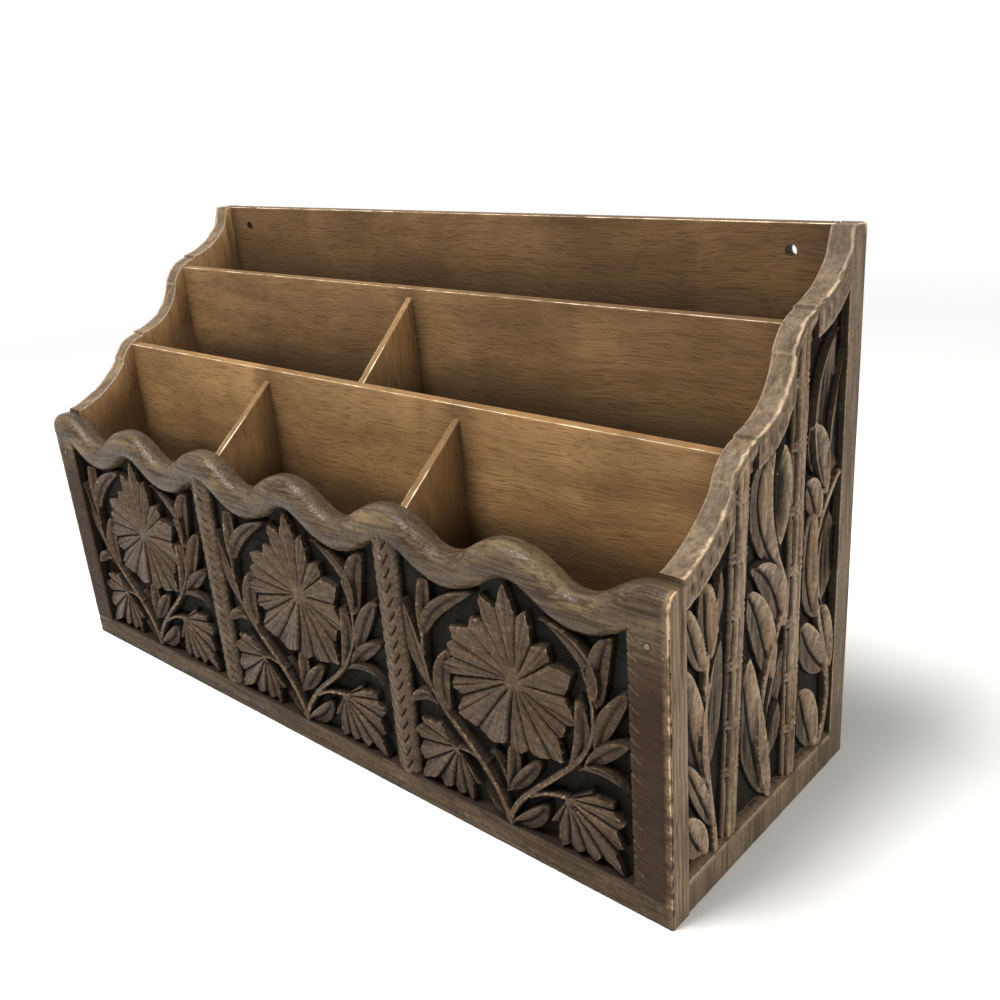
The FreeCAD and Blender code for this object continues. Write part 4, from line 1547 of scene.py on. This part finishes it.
    def length_of(self, part: int, materials: Sequence[Material], name: str) -> Piece:
        """Make one length of the board, closed over its top, back and ends.

        Args:
            part: 0 on the left, 1 in the middle, 2 on the right.
            materials: Carved walnut, plain walnut and end grain.
            name: The piece's name.

        Returns:
            The piece.
        """
        grid = self.finish_face(self.lay_out(part))
        over = np.array([5.6, 6.8, 7.9, 8.6, self.thick])
        drop = np.array([0.0, 0.0, 0.05, 0.22, 0.6])
        x = grid.ends()
        start = grid.depth[:, -1:]
        run = start + (over - self.rail_round) / (self.thick - self.rail_round) * (self.thick - start)
        roof = self.world(x * np.ones(len(over)), grid.top - drop, run)
        extra = len(over) + len(self.BACK_FALL) + 1
        tone = np.full((len(x), extra), 0.1)
        tone[np.abs(x[:, 0]) > self.half - self.lap, len(over):] = 0.9
        rubbed = np.zeros(extra)
        rubbed[:len(over)] = 1.0
        draft = self.wrap(grid, roof, depth=tone, wear=0.0, polish=rubbed)
        if part == 0:
            self.end_face(draft, -1, self.edge_line(grid, roof, 0))
        if part == self.bay_count - 1:
            self.end_face(draft, 1, self.edge_line(grid, roof, -1))
        return draft.make(name, materials)

    def end_face(self, draft: Draft, sign: int, edge: Array) -> None:
        """Add an end of the board, where its growth lines show.

        Args:
            draft: The mesh to add to.
            sign: -1 for the left end, 1 for the right one.
            edge: Points round the end, over the carved face and the top.
        """
        share = stations(0.0, 1.0, self.END_STEP / self.thick)
        into = edge[:, 1] - self.low[1]
        reach = into[None, :] + share[:, None] * (self.thick - into)[None, :]
        up = np.broadcast_to(edge[:, 2], reach.shape)
        wander = 0.5 * self.marks.at(up, reach, 19.0, 30.0)
        lines = notch(off_line(reach + wander, 1.9), 0.3)
        lines = lines * smooth_step(share, 0.0, 0.2)[:, None] * smooth_step(1 - share, 0.0, 0.06)[:, None]
        along = sign * (self.half - self.ring_depth * lines)
        wear = self.broken_arris(up) * (1 - smooth_step(reach, 0.3, 1.2))
        draft.add(self.world(along, up, reach), (0.90, 0.01, 0.99, 0.99), flip=sign < 0, finish=2,
                  depth=0.6 * lines, wear=wear)

    def build(self, carved: Material, plain: Material, end: Material) -> list[Piece]:
        """Make the three lengths.

        Args:
            carved: Finish of the carved face.
            plain: Finish of the back.
            end: Finish of the two ends.

        Returns:
            The pieces.
        """
        names = ("carved_front_left", "carved_front_middle", "carved_front_right")
        pieces = [self.length_of(part, (carved, plain, end), name) for part, name in enumerate(names)]
        return [settle(piece, "front_panel") for piece in pieces]


@dataclass
class CarvedSide(CarvedBoard):
    """A carved side: stepped top, rim, two reeded poles and three columns of leaves."""

    TOP_ROUNDS = 6

    hand: Hand
    bottom_rail: float = 12.0
    back_stile: float = 10.0
    rim: float = 9.0
    ground: float = 4.0
    pole_radius: float = 6.0
    pole_axis: float = 6.4
    front_leads: Point = (8.0, 1.5)
    rear_leads: Point = (3.0, 1.0)
    front_nodes: tuple[float, ...] = (35.0, 51.0, 70.0, 86.0, 103.0, 120.0)
    rear_nodes: tuple[float, ...] = (30.0, 49.0, 68.0, 85.5, 105.0, 125.0, 144.0)
    node_half: float = 1.8
    reed_bearings: tuple[float, ...] = (-52.0, -28.0, -4.0, 20.0, 46.0)
    front_top: float = 108.0
    hump_over: float = 3.0
    hump_rise: float = 9.0
    hump_bulge: float = 2.0
    step: float = 1.0
    sags: tuple[float, float, float] = (2.5, 4.5, 2.2)
    horn_drop: float = 7.5
    horn_foot: float = 9.5
    horn_top: float = 7.0
    face_level: float = 0.15
    arris_radius: float = 0.9
    field_step: float = 0.36
    pole_step: float = 0.28
    stile_step: float = 0.5
    field_rows: int = 285

    def __post_init__(self) -> None:
        """Read the frame and trace the outline."""
        node = "right_side_panel" if self.hand is Hand.RIGHT else "left_side_panel"
        self.node = node
        low, high = node_box(node)
        self.front = float(low[1])
        self.rear = float(high[1])
        self.height = float(high[2])
        self.thick = float(high[0] - low[0])
        self.outer = float(high[0] if self.hand is Hand.RIGHT else low[0])
        self.marks = Lattice(23 + self.hand.value)
        self.poles = []
        self.tops = []
        for divider, leads in (("front_divider", self.front_leads), ("rear_divider", self.rear_leads)):
            near, far = node_box(divider)
            middle = float(near[1] + far[1]) / 2
            self.poles.append((middle - leads[0], middle - leads[1]))
            self.tops.append(float(far[2]) + self.hump_over)
        self.outline = self.trace()

    def world(self, along: Array, up: Array, into: Array) -> Array:
        """Points of the holder for points of the board."""
        return np.stack([self.outer - self.hand.value * into, along, up], axis=-1)

    def trace(self) -> Array:
        """Trace the top of the board.

        Returns:
            Rows of place along it and height, from front to back.
        """
        rows = [(self.front, self.front_top)]

        def bend_to(along: float, up: float, sag: float) -> None:
            """Go on to a point in an arc that sags."""
            share = np.linspace(0.0, 1.0, 25)[1:]
            start = np.array(rows[-1])
            run = np.array((along, up)) - start
            down = np.array((run[1], -run[0])) / np.hypot(*run)
            arc = start + share[:, None] * run + (4 * sag * share * (1 - share))[:, None] * down
            rows.extend(map(tuple, arc))

        for (_, head), top, sag in zip(self.poles, self.tops, self.sags):
            start = top - self.hump_rise
            bend_to(head - self.pole_radius, start - self.step, sag)
            rows.append((head - self.pole_radius, start))
            bend_to(head + self.pole_radius, top, -self.hump_bulge)
            rows.append((head + self.pole_radius, top + self.step))
        bend_to(self.rear - self.horn_foot, self.height - self.horn_drop, self.sags[-1])
        rows.append((self.rear - self.horn_top, self.height))
        rows.append((self.rear, self.height))
        return np.array(rows)

    def axis(self, pole: int, up: Array | float) -> Array | float:
        """Place of a pole's axis at a height."""
        foot, head = self.poles[pole]
        return foot + (head - foot) * (up - self.bottom_rail) / (self.tops[pole] - self.bottom_rail)

    def key_lines(self, up: Array) -> list[Array]:
        """The upright lines between the strips, at these heights."""
        half = self.pole_radius
        return [np.full(up.shape, self.front), self.axis(0, up) - half, self.axis(0, up) + half,
                self.axis(1, up) - half, self.axis(1, up) + half,
                np.full(up.shape, self.rear - self.back_stile), np.full(up.shape, self.rear)]

    def pole_depth(self, pole: int, along: Array, up: Array) -> Array:
        """Measure a pole.

        Args:
            pole: 0 for the front one, 1 for the rear one.
            along: Place along the board.
            up: Height above the base.

        Returns:
            Depth below the face.
        """
        off = along - self.axis(pole, up)
        turn = np.arcsin(np.clip(off / self.pole_radius, -1.0, 1.0))
        nodes = self.front_nodes if pole == 0 else self.rear_nodes
        band = np.zeros(off.shape)
        rings = np.zeros(off.shape)
        for node in nodes:
            away = up - node - 0.04 * off
            ring = 1 - smooth_step(np.abs(away), self.node_half - 0.2, self.node_half + 0.3)
            band = np.maximum(band, ring)
            for side in (-1.0, 0.1, 1.0):
                rings = np.maximum(rings, notch(away - side * self.node_half, 0.42))
        reeds = np.zeros(off.shape)
        for index, bearing in enumerate(self.reed_bearings):
            sway = 0.05 * self.marks.at(up, up * 0 + index * 7.3, 14.0, 1.0)
            reeds = np.maximum(reeds, notch((turn - math.radians(bearing) + sway) * self.pole_radius, 0.5))
        strength = 0.75 + 0.25 * self.marks.at(up, along, 9.0, 3.0)
        radius = self.pole_radius + 0.12 * band - 1.4 * reeds * strength * (1 - 0.6 * band) - 0.45 * rings
        lift = np.sqrt(np.maximum(radius ** 2 - np.minimum(np.abs(off), radius) ** 2, 0.0))
        return np.clip(self.pole_axis - lift, 0.05, self.ground)

    def sprays(self) -> list[list[CarvedForm]]:
        """The leaves and stems of the three columns."""
        middle = spray_forms(MIDDLE_SPRAY_LEAVES, MIDDLE_SPRAY_STEMS)
        middle[HOLLOW_LEAF] = Leaf(*MIDDLE_SPRAY_LEAVES[HOLLOW_LEAF], lean=0.2, dish=0.5, vein_depth=0.0)
        return [spray_forms(FRONT_SPRAY_LEAVES, FRONT_SPRAY_STEMS), middle,
                spray_forms(REAR_SPRAY_LEAVES, REAR_SPRAY_STEMS)]

    def field_starts(self) -> list[float]:
        """Where the three columns of leaves start along the board."""
        middles = [(foot + head) / 2 for foot, head in self.poles]
        return [self.front, middles[0] + self.pole_radius, middles[1] + self.pole_radius]

    def strips(self) -> list[Strip]:
        """The strips of the face, as wide as they are on top of the bottom rail."""
        lines = [float(line[0]) for line in self.key_lines(np.array([self.bottom_rail]))]
        kinds = (StripKind.FIELD, StripKind.POLE) * 2 + (StripKind.FIELD, StripKind.STILE)
        steps = {StripKind.FIELD: self.field_step, StripKind.POLE: self.pole_step,
                 StripKind.STILE: self.stile_step}
        return [Strip(kind, left, right, steps[kind]) for kind, left, right in zip(kinds, lines, lines[1:])]

    def places(self, strip_of: Array, share: Array, up: Array) -> Array:
        """Find points along the board.

        Args:
            strip_of: The strip of each upright line.
            share: How far across its strip each line runs.
            up: Heights, as lines by rows.

        Returns:
            The place along the board of each line at each height.
        """
        lines = np.stack(self.key_lines(up), axis=0)
        rows = np.broadcast_to(strip_of[:, None], up.shape)
        left = np.take_along_axis(lines, rows[None, :, :], axis=0)[0]
        right = np.take_along_axis(lines, rows[None, :, :] + 1, axis=0)[0]
        left = left + np.where(rows > 0, self.GAP, 0.0)
        right = right - np.where(rows < len(lines) - 2, self.GAP, 0.0)
        return left + share[:, None] * (right - left)

    def lay_out(self) -> FaceGrid:
        """Lay out the points of the face, with those next to an outline drawn onto it."""
        strips = self.strips()
        shares = []
        for strip in strips:
            width = strip.right - strip.left
            share = stations(0.0, 1.0, strip.step / width)
            if strip.kind is StripKind.STILE:
                near_edge = 1 - np.array([1.2, 0.9, 0.6, 0.35, 0.15, 0.0]) / width
                share = np.concatenate([share[share < near_edge[0] - 0.01], near_edge])
            shares.append(share)
        strip_of = np.concatenate([np.full(len(share), index) for index, share in enumerate(shares)])
        share = np.concatenate(shares)
        top = np.full((len(strip_of), 1), self.front_top)
        for _ in range(self.TOP_ROUNDS):
            top = np.interp(self.places(strip_of, share, top), self.outline[:, 0], self.outline[:, 1])
        foot = np.concatenate([self.FOOT_ROUND, stations(1.0, self.bottom_rail - self.GAP, 1.0)])
        field_share = stations(0.0, 1.0, 1.0 / self.field_rows)
        rim_share = np.concatenate([stations(0.0, 0.86, 0.05), [0.90, 0.93, 0.955, 0.975, 0.99, 1.0]])
        low = self.bottom_rail + self.GAP
        rim_low = top - self.rim
        up = np.concatenate([
            np.ones(top.shape) * foot,
            low + field_share * (rim_low - self.GAP - low),
            rim_low + self.GAP + rim_share * (self.rim - self.GAP),
        ], axis=1)
        first = len(foot)
        along = self.places(strip_of, share, up)
        grid = FaceGrid(strips, strip_of, along, up, top, first, first + len(field_share))
        for number, (start, forms) in enumerate(zip(self.field_starts(), self.sprays())):
            inner = grid.inside(2 * number)
            place = (grid.along[inner] - start, grid.up[inner] - self.bottom_rail)
            grid.move(inner, snap(*place, forms, self.ground))
        return grid

    def carve_face(self, grid: FaceGrid) -> Array:
        """Carve the face, as CarvedBoard asks."""
        first, second = grid.first, grid.second
        depth = np.full(grid.along.shape, self.face_level)
        fields = list(zip(self.field_starts(), self.sprays()))
        for index, strip in enumerate(grid.strips):
            mine = grid.lines_of(index)
            along, up = grid.along[mine], grid.up[mine]
            edge = grid.top[mine] - up
            if strip.kind is StripKind.FIELD:
                start, forms = fields[index // 2]
                inner = carve(along - start, up - self.bottom_rail, forms, self.ground)
                chips = 0.22 * self.marks.at(along, up, 2.2, 3.4)
                inner = inner + np.where(inner > self.ground - 0.01, chips - 0.25, 0.2 * chips)
                wander = 0.8 * self.marks.at(along, up, 4.0, 9.0)
                gouge = 1.7 * notch(off_line(along + wander, 4.6), 1.0) * notch(edge - 5.2 + wander, 2.4)
                depth[mine, first:second] = inner[:, first:second]
                depth[mine, second:] = self.face_level + gouge[:, second:]
            elif strip.kind is StripKind.POLE:
                head = self.face_level + 0.5 + 1.3 * smooth_step(edge, 2.0, 7.0)
                head = np.where(edge < self.rim, head, self.ground)
                depth[mine] = np.minimum(self.pole_depth(index // 2, along, up), head)
        depth[:, :first] = self.face_level
        along, up = grid.along, grid.up
        edge = grid.top - up
        fibres = 0.14 * self.marks.at(along, up, 0.75, 9.0) + 0.10 * self.marks.at(along + 31, up, 1.6, 22.0)
        flat = 0.25 + 0.75 * smooth_step(depth, self.face_level + 0.3, self.face_level + 0.9)
        depth = depth + flat * fibres + 0.06 * self.marks.at(along, up, 7.0, 9.0)
        ragged = self.arris_radius * (1.0 + 0.5 * self.marks.at(along, up * 0, 1.3, 1.0))
        depth = depth + np.where(edge < ragged, self.arris(edge, 1.0) * ragged, 0.0)
        depth = depth + self.arris(up, 0.6) + self.arris(self.rear - along, 0.8)
        return np.clip(depth, self.LEAST_DEPTH, None)

    def worn(self, grid: FaceGrid) -> Array:
        """Wear of the face, most of all along its top and its rear edge."""
        along, up = grid.along, grid.up
        edge = grid.top - up
        # Crests of the relief get pale worn colour, partly painted highlight.
        wear = 0.4 * self.crest_wear(grid.depth, 2, 1.5)
        broken = np.clip(0.62 + 0.9 * self.marks.at(along, up * 0, 2.3, 1.0), 0.0, 1.0)
        wear = np.maximum(wear, 0.62 * broken * (1 - smooth_step(edge, 0.02, 0.26)))
        corner = np.hypot(self.rear - along, edge)
        wear = np.maximum(wear, 1 - smooth_step(corner + 0.8 * self.marks.at(along, up, 1.5, 1.5), 1.6, 3.4))
        return np.maximum(wear, 0.6 * broken * (1 - smooth_step(self.rear - along, 0.3, 1.0)))

    def polished(self, grid: FaceGrid) -> Array:
        """Polish of the face, on what isn't cut down."""
        return 0.45 * (1 - smooth_step(grid.depth, self.face_level + 0.3, self.face_level + 0.7))

    def painted_shade(self, grid: FaceGrid) -> Array:
        """Painted shade of the face, as CarvedBoard asks."""
        shade = np.clip(grid.depth / self.ground, 0.0, 1.0)
        shade = np.clip(shade + 0.4 * self.cavity(grid.depth, 3, 0.8), 0.0, 1.0)
        shade = shade * smooth_step(grid.top - grid.up, 1.2, 2.2)
        shade[:, grid.first] = np.minimum(shade[:, grid.first], 0.08)
        return shade

    def build(self, carved: Material, plain: Material) -> Piece:
        """Make the side, closed over its top, inner face and ends.

        Args:
            carved: Finish of the carved face.
            plain: Finish of the inner face.

        Returns:
            The piece.
        """
        grid = self.finish_face(self.lay_out())
        flat = grid.ends()
        share = np.array([0.06, 0.14, 0.3, 0.5, 0.7, 0.86, 0.94, 0.98, 1.0])
        drop = np.array([0.0, 0.0, 0.0, 0.0, 0.0, 0.05, 0.15, 0.35, 0.7])
        start = grid.depth[:, -1:]
        bumps = 0.12 * (1 + self.marks.at(flat, share[None, :] * 9, 2.5, 3.0))
        roof_up = grid.top - drop - bumps
        roof = self.world(flat * np.ones(len(share)), roof_up, start + share * (self.thick - start))
        extra = len(share) + len(self.BACK_FALL) + 1
        wear = np.zeros((len(flat), extra))
        wear[:, 0] = 0.3
        wear[:, len(share) - 3:len(share)] = (0.2, 0.35, 0.2)
        for _, head in self.poles:
            wear[np.abs(flat[:, 0] - head + self.pole_radius) < 0.2, :len(share)] = 0.25
        polish = np.zeros(extra)
        polish[:len(share)] = 0.5
        # Painted shade on the inner face, darker lower down.
        shade_and_grime = np.zeros(extra)
        shade_and_grime[len(share):-1] = 0.35 + 0.5 * (1 - self.BACK_FALL)
        mirrored = self.hand is Hand.LEFT
        draft = self.wrap(grid, roof, flip=mirrored, depth=shade_and_grime, wear=wear, polish=polish)
        across = stations(0.0, 1.0, 0.125)
        inner_x = self.outer - self.hand.value * self.thick
        for index, tile in ((0, (0.89, 0.01, 0.935, 0.99)), (-1, (0.945, 0.01, 0.99, 0.99))):
            edge_line = self.edge_line(grid, roof, index)
            end = np.repeat(edge_line[None, :, :], len(across), axis=0)
            end[:, :, 0] = edge_line[None, :, 0] * (1 - across)[:, None] + inner_x * across[:, None]
            draft.add(end, tile, flip=mirrored == (index == -1))
        piece = draft.make("carved_side_" + self.hand.name.lower(), (carved, plain))
        return settle(piece, self.node)


# Plain boards

@dataclass
class PlainBoard:
    """A planed board with rounded, worn arrises that stands where a CAD node is."""

    node: str
    name: str
    top_line: tuple[Point, Point] | None = None
    arris: float = 0.5
    worn_reach: float = 0.5
    step: float = 6.0
    # Painted shade darkens the board below the top of the board in front (cover) and in the corners by its
    # joints.
    cover: float = 0.0
    joints: tuple[float, ...] = ()
    corner_shade: float = 0.45
    outer_back: bool = False
    covered_shade: float = 0.85
    top_grime: float = 0.25
    holes: tuple[Point, ...] = ()
    hole_radius: float = 2.0

    def __post_init__(self) -> None:
        """Read where the board stands."""
        self.low, self.high = node_box(self.node)

    def lines(self, low: float, high: float) -> Array:
        """Stations across the board one way, close together by its arrises."""
        near = np.array([0.0, 0.15, 0.35, 0.6, 1.0, 1.0 + self.worn_reach / self.arris]) * self.arris
        near = near[near < (high - low) / 2]
        middle = stations(low + near[-1], high - near[-1], self.step)
        return np.concatenate([low + near[:-1], middle, (high - near[:-1])[::-1]])

    def build(self, material: Material) -> Piece:
        """Make the board.

        Args:
            material: Its finish.

        Returns:
            The piece.
        """
        tiles = ((0.01, 0.01, 0.98, 0.30), (0.01, 0.34, 0.98, 0.63), (0.01, 0.66, 0.24, 0.80),
                 (0.26, 0.66, 0.49, 0.80), (0.51, 0.66, 0.98, 0.80), (0.01, 0.83, 0.98, 0.98))
        sides = [(axis, far) for axis in (1, 0, 2) for far in (False, True)]
        draft = Draft()
        for tile, (axis, far) in zip(tiles, sides):
            self.add_side(draft, tile, axis, far)
        piece = draft.make(self.name, (material,))
        if self.holes:
            self.bore(piece)
        return settle(piece, self.node)

    def add_side(self, draft: Draft, tile: Tile, axis: int, far: bool) -> None:
        """Add one of the board's six sides, rounded into its neighbours.

        Args:
            draft: The mesh to add to.
            tile: Its place in the bake's square.
            axis: 0, 1 or 2 for a side that faces along X, Y or Z.
            far: Whether it faces that axis's own way.
        """
        others = [other for other in range(3) if other != axis]
        first, second = (self.lines(self.low[other], self.high[other]) for other in others)
        points = np.empty((len(first), len(second), 3))
        points[:, :, axis] = self.high[axis] if far else self.low[axis]
        points[:, :, others[0]] = first[:, None]
        points[:, :, others[1]] = second[None, :]
        core = np.clip(points, self.low + self.arris, self.high - self.arris)
        out = points - core
        length = np.linalg.norm(out, axis=-1, keepdims=True)
        points = core + out / np.maximum(length, 1e-9) * self.arris
        gaps = np.sort(np.minimum(points - self.low, self.high - points), axis=-1)
        wear = 0.75 * (1 - smooth_step(gaps[:, :, 1], 0.05, self.worn_reach))
        if self.top_line is not None:
            (y0, z0), (y1, z1) = self.top_line
            slope = z0 + (points[:, :, 1] - y0) * (z1 - z0) / (y1 - y0)
            share = (points[:, :, 2] - self.low[2]) / (self.high[2] - self.low[2])
            points[:, :, 2] = self.low[2] + share * (slope - self.low[2])
        upper = smooth_step(points[:, :, 2], self.high[2] * 0.5, self.high[2] * 0.6)
        middle = (self.low[1] + self.high[1]) / 2
        behind = smooth_step(points[:, :, 1], middle - 0.2, middle + 0.2)
        wear = wear * (0.15 + 0.85 * upper) * (1.0 - 0.6 * behind)
        # Painted shade, and grime on the top and bottom faces.
        shade_and_grime = self.painted_shade(points)
        if axis == 2:
            shade_and_grime = np.maximum(shade_and_grime, self.top_grime)
        draft.add(points, tile, flip=(axis == 1) == far, wear=wear, depth=shade_and_grime)

    def painted_shade(self, points: Array) -> Array:
        """Find the painted shade on a side.

        Args:
            points: Its points.

        Returns:
            Painted shade between 0 and 1, more of it low down and in the corners by the joints.
        """
        x, y, z = points[:, :, 0], points[:, :, 1], points[:, :, 2]
        shade_and_grime = self.covered_shade * (1 - smooth_step(z, self.cover - 15.0, self.cover + 9.0))
        corners = [1 - smooth_step(np.abs(x - joint), 2.0, 11.0) for joint in self.joints]
        if not self.joints:
            corners = [1 - smooth_step(self.high[1] - y, 0.0, 8.0)]
        for corner in corners:
            shade_and_grime = np.maximum(shade_and_grime, self.corner_shade * corner)
        if self.outer_back:
            shade_and_grime = shade_and_grime * (y < (self.low[1] + self.high[1]) / 2)
        return shade_and_grime

    def bore(self, piece: Piece) -> None:
        """Bore the holes right through the board, front to back."""
        for x, z in self.holes:
            cutter = bmesh.new()
            middle = float(self.low[1] + self.high[1]) / 2
            bmesh.ops.create_cone(cutter, cap_ends=True, segments=40, radius1=self.hole_radius * MILLIMETRE,
                                  radius2=self.hole_radius * MILLIMETRE, depth=30 * MILLIMETRE)
            mesh = bpy.data.meshes.new("hole")
            cutter.to_mesh(mesh)
            cutter.free()
            tool = in_scene("hole", mesh)
            tool.location = Vector((x, middle, z)) * MILLIMETRE
            tool.rotation_euler = (math.pi / 2, 0.0, 0.0)
            bpy.context.view_layer.update()
            change = piece.modifiers.new("bore", "BOOLEAN")
            change.operation = "DIFFERENCE"
            change.solver = "EXACT"
            change.object = tool
            shown = piece.evaluated_get(bpy.context.evaluated_depsgraph_get())
            bored = bpy.data.meshes.new_from_object(shown)
            piece.modifiers.remove(change)
            bored.shade_flat()
            piece.data = bored
            bpy.data.objects.remove(tool)


@dataclass
class Compartments:
    """The plain boards: back, dividers and partitions."""

    front_partition_tops: Point = (101.5, 126.0)
    middle_partition_drop: float = 3.5

    def boards(self) -> list[PlainBoard]:
        """The boards, each with the line of its top where that slopes."""
        front, rail = node_box("front_panel")[1][1:]
        front_cover = rail - CarvedFront.wave_height
        first_low, first_high = node_box("front_divider")
        second_low, second_high = node_box("rear_divider")
        front_line = ((front, self.front_partition_tops[0]), (first_low[1], self.front_partition_tops[1]))
        middle_rear = (second_low[1], second_high[2] - self.middle_partition_drop)
        middle_line = ((first_high[1], first_high[2]), middle_rear)
        holes = next(mount for mount in frame["record"]["mounts"] if mount["name"] == "hanging_holes")
        reach = holes["dims"]["spacing_x_mm"] / 2
        rise = holes["pos_m"][2] / MILLIMETRE
        ends = (first_low[0], first_high[0])
        partitions = (
            ("front_left_partition", "partition_front_left", front_line, front_cover),
            ("front_right_partition", "partition_front_right", front_line, front_cover),
            ("middle_partition", "partition_middle", middle_line, first_high[2]),
        )
        left, right, middle = (float(sum(node_box(node)[side][0] for side in (0, 1)) / 2)
                               for node, *_ in partitions)
        boards = [
            PlainBoard("back_panel", "back_board", cover=second_high[2], joints=ends, outer_back=True,
                       holes=((-reach, rise), (reach, rise)), hole_radius=holes["dims"]["hole_r_mm"]),
            PlainBoard("front_divider", "divider_front", cover=front_cover, joints=(*ends, left, right)),
            PlainBoard("rear_divider", "divider_rear", cover=first_high[2], joints=(*ends, middle)),
        ]
        return boards + [PlainBoard(node, name, top_line=line, cover=cover, top_grime=0.3, worn_reach=0.9)
                         for node, name, line, cover in partitions]

    def build(self, back: Material, front: Material, rear: Material, upright: Material) -> list[Piece]:
        """Make the back, the dividers and the partitions."""
        finishes = (back, front, rear, upright, upright, upright)
        return [board.build(finish) for board, finish in zip(self.boards(), finishes)]


# Stage

@dataclass(frozen=True)
class PhotoCamera:
    """The photograph's camera, found from the edges of the boards, in millimetres and degrees."""

    place: tuple[float, float, float] = (291.54, -252.53, 228.58)
    turn: tuple[float, float, float] = (68.475, 4.199, 41.451)
    lens: float = 38.121
    sensor: float = 36.0

    def build(self) -> Piece:
        """Make the camera, and let the scene use it."""
        data = bpy.data.cameras.new("photo_camera")
        data.lens = self.lens
        data.sensor_width = self.sensor
        data.clip_start = 0.01
        camera = in_scene("photo_camera", data)
        camera.location = Vector(self.place) * MILLIMETRE
        camera.rotation_euler = Euler([math.radians(angle) for angle in self.turn], "XYZ")
        bpy.context.scene.camera = camera
        return camera


@dataclass(frozen=True)
class SoftLight:
    """A square studio light."""

    name: str
    place: tuple[float, float, float]
    aim: tuple[float, float, float]
    size: float
    power: float
    colour: Colour = (1.0, 1.0, 1.0)

    def build(self) -> Piece:
        """Make the light."""
        data = bpy.data.lights.new(self.name, "AREA")
        data.shape = "SQUARE"
        data.size = self.size
        data.energy = self.power
        data.color = self.colour
        light = in_scene(self.name, data)
        light.location = self.place
        towards = Vector(self.aim) - Vector(self.place)
        light.rotation_euler = towards.to_track_quat("-Z", "Y").to_euler()
        return light


@dataclass
class Studio:
    """A pale floor, soft light and a white background."""

    floor_radius: float = 4.0
    ambient: float = 0.15
    lights: tuple[SoftLight, ...] = (
        SoftLight("overhead", (-0.20, -0.40, 1.30), (0.0, 0.0, 0.08), 0.55, 33.0, (1.0, 0.985, 0.96)),
        SoftLight("right_fill", (1.35, 0.15, 0.75), (0.1, 0.0, 0.08), 0.8, 12.0, (1.0, 0.98, 0.95)),
        SoftLight("front_fill", (0.35, -1.5, 0.8), (0.0, 0.0, 0.08), 0.8, 3.0, (1.0, 0.99, 0.97)),
    )

    def build(self) -> Piece:
        """Make the floor, the lights and the background.

        Returns:
            The floor.
        """
        disc = bmesh.new()
        bmesh.ops.create_circle(disc, cap_ends=True, segments=96, radius=self.floor_radius)
        mesh = bpy.data.meshes.new("floor")
        disc.to_mesh(mesh)
        disc.free()
        mesh.materials.append(PaleFloor().make("pale_floor"))
        floor = in_scene("floor", mesh)
        for light in self.lights:
            light.build()
        self.background()
        return floor

    def background(self) -> None:
        """Even soft light all round, and white behind the holder."""
        world = bpy.data.worlds.new("studio")
        bpy.context.scene.world = world
        world.use_nodes = True
        tree = world.node_tree
        back = tree.nodes["Background"]
        back.inputs["Color"].default_value = (1.0, 1.0, 1.0, 1.0)
        level = tree.nodes.new("ShaderNodeMapRange")
        level.inputs["To Min"].default_value = self.ambient
        level.inputs["To Max"].default_value = 1.0
        tree.links.new(white_rays(tree), level.inputs["Value"])
        tree.links.new(level.outputs["Result"], back.inputs["Strength"])


def dress_nodes(plain: Material, metal: Material) -> None:
    """Give the CAD nodes that stay their finish.

    Args:
        plain: Finish of the bottom board.
        metal: Finish of the pins.
    """
    for name, material in (("bottom_board", plain), ("front_panel_pins", metal)):
        mesh = frame["nodes"][name].data
        mesh.materials.clear()
        mesh.materials.append(material)


def main() -> None:
    """Build the holder's visible pieces and its studio."""
    logging.basicConfig(level=logging.INFO, format="%(name)s: %(message)s")
    carved_across = CarvedWalnut(GrainWay.ACROSS).make("carved_walnut_across")
    # The sides' walnut is a much lighter copy of the front's: painted light on the sides.
    side_walnut_lit = CarvedWalnut(GrainWay.UPRIGHT, face=(0.195, 0.137, 0.088), band=(0.066, 0.042, 0.025),
                               relief=(0.372, 0.276, 0.196), dust=(0.022, 0.018, 0.014),
                               worn=(0.38, 0.285, 0.190), bare=(0.50, 0.40, 0.27),
                               sheen=(0.158, 0.131, 0.098), gold=(0.360, 0.245, 0.120),
                               tint=(0.250, 0.150, 0.075), relief_lines=1.0)
    carved_upright = side_walnut_lit.make("carved_walnut_upright")
    plain_across = PlainWalnut(GrainWay.ACROSS).make("plain_walnut_across")
    plain_upright = PlainWalnut(GrainWay.UPRIGHT).make("plain_walnut_upright")
    # Darker copies of the plain walnut: painted shade on the rear divider and the back board.
    rear_walnut_shaded = PlainWalnut(GrainWay.ACROSS, light=(0.252, 0.148, 0.064), dark=(0.126, 0.070, 0.031),
                              pore=(0.060, 0.033, 0.016), glow=(0.278, 0.166, 0.074))
    plain_rear = rear_walnut_shaded.make("plain_walnut_rear")
    back_walnut_shaded = PlainWalnut(GrainWay.ACROSS, light=(0.210, 0.120, 0.053), dark=(0.102, 0.057, 0.026),
                              pore=(0.045, 0.025, 0.013), glow=(0.226, 0.131, 0.059))
    plain_back = back_walnut_shaded.make("plain_walnut_back")
    metal = PinMetal().make("pin_metal")
    end_grain = EndGrain().make("walnut_end_grain")
    pieces = CarvedFront().build(carved_across, plain_across, end_grain)
    for hand in Hand:
        pieces.append(CarvedSide(hand).build(carved_upright, plain_upright))
    pieces += Compartments().build(plain_back, plain_across, plain_rear, plain_upright)
    dress_nodes(plain_across, metal)
    for piece in pieces:
        LOG.info("%s: %d faces", piece.name, len(piece.data.polygons))
    Studio().build()
    PhotoCamera().build()
    bpy.context.scene.view_settings.view_transform = "Standard"


if __name__ == "__main__":
    main()
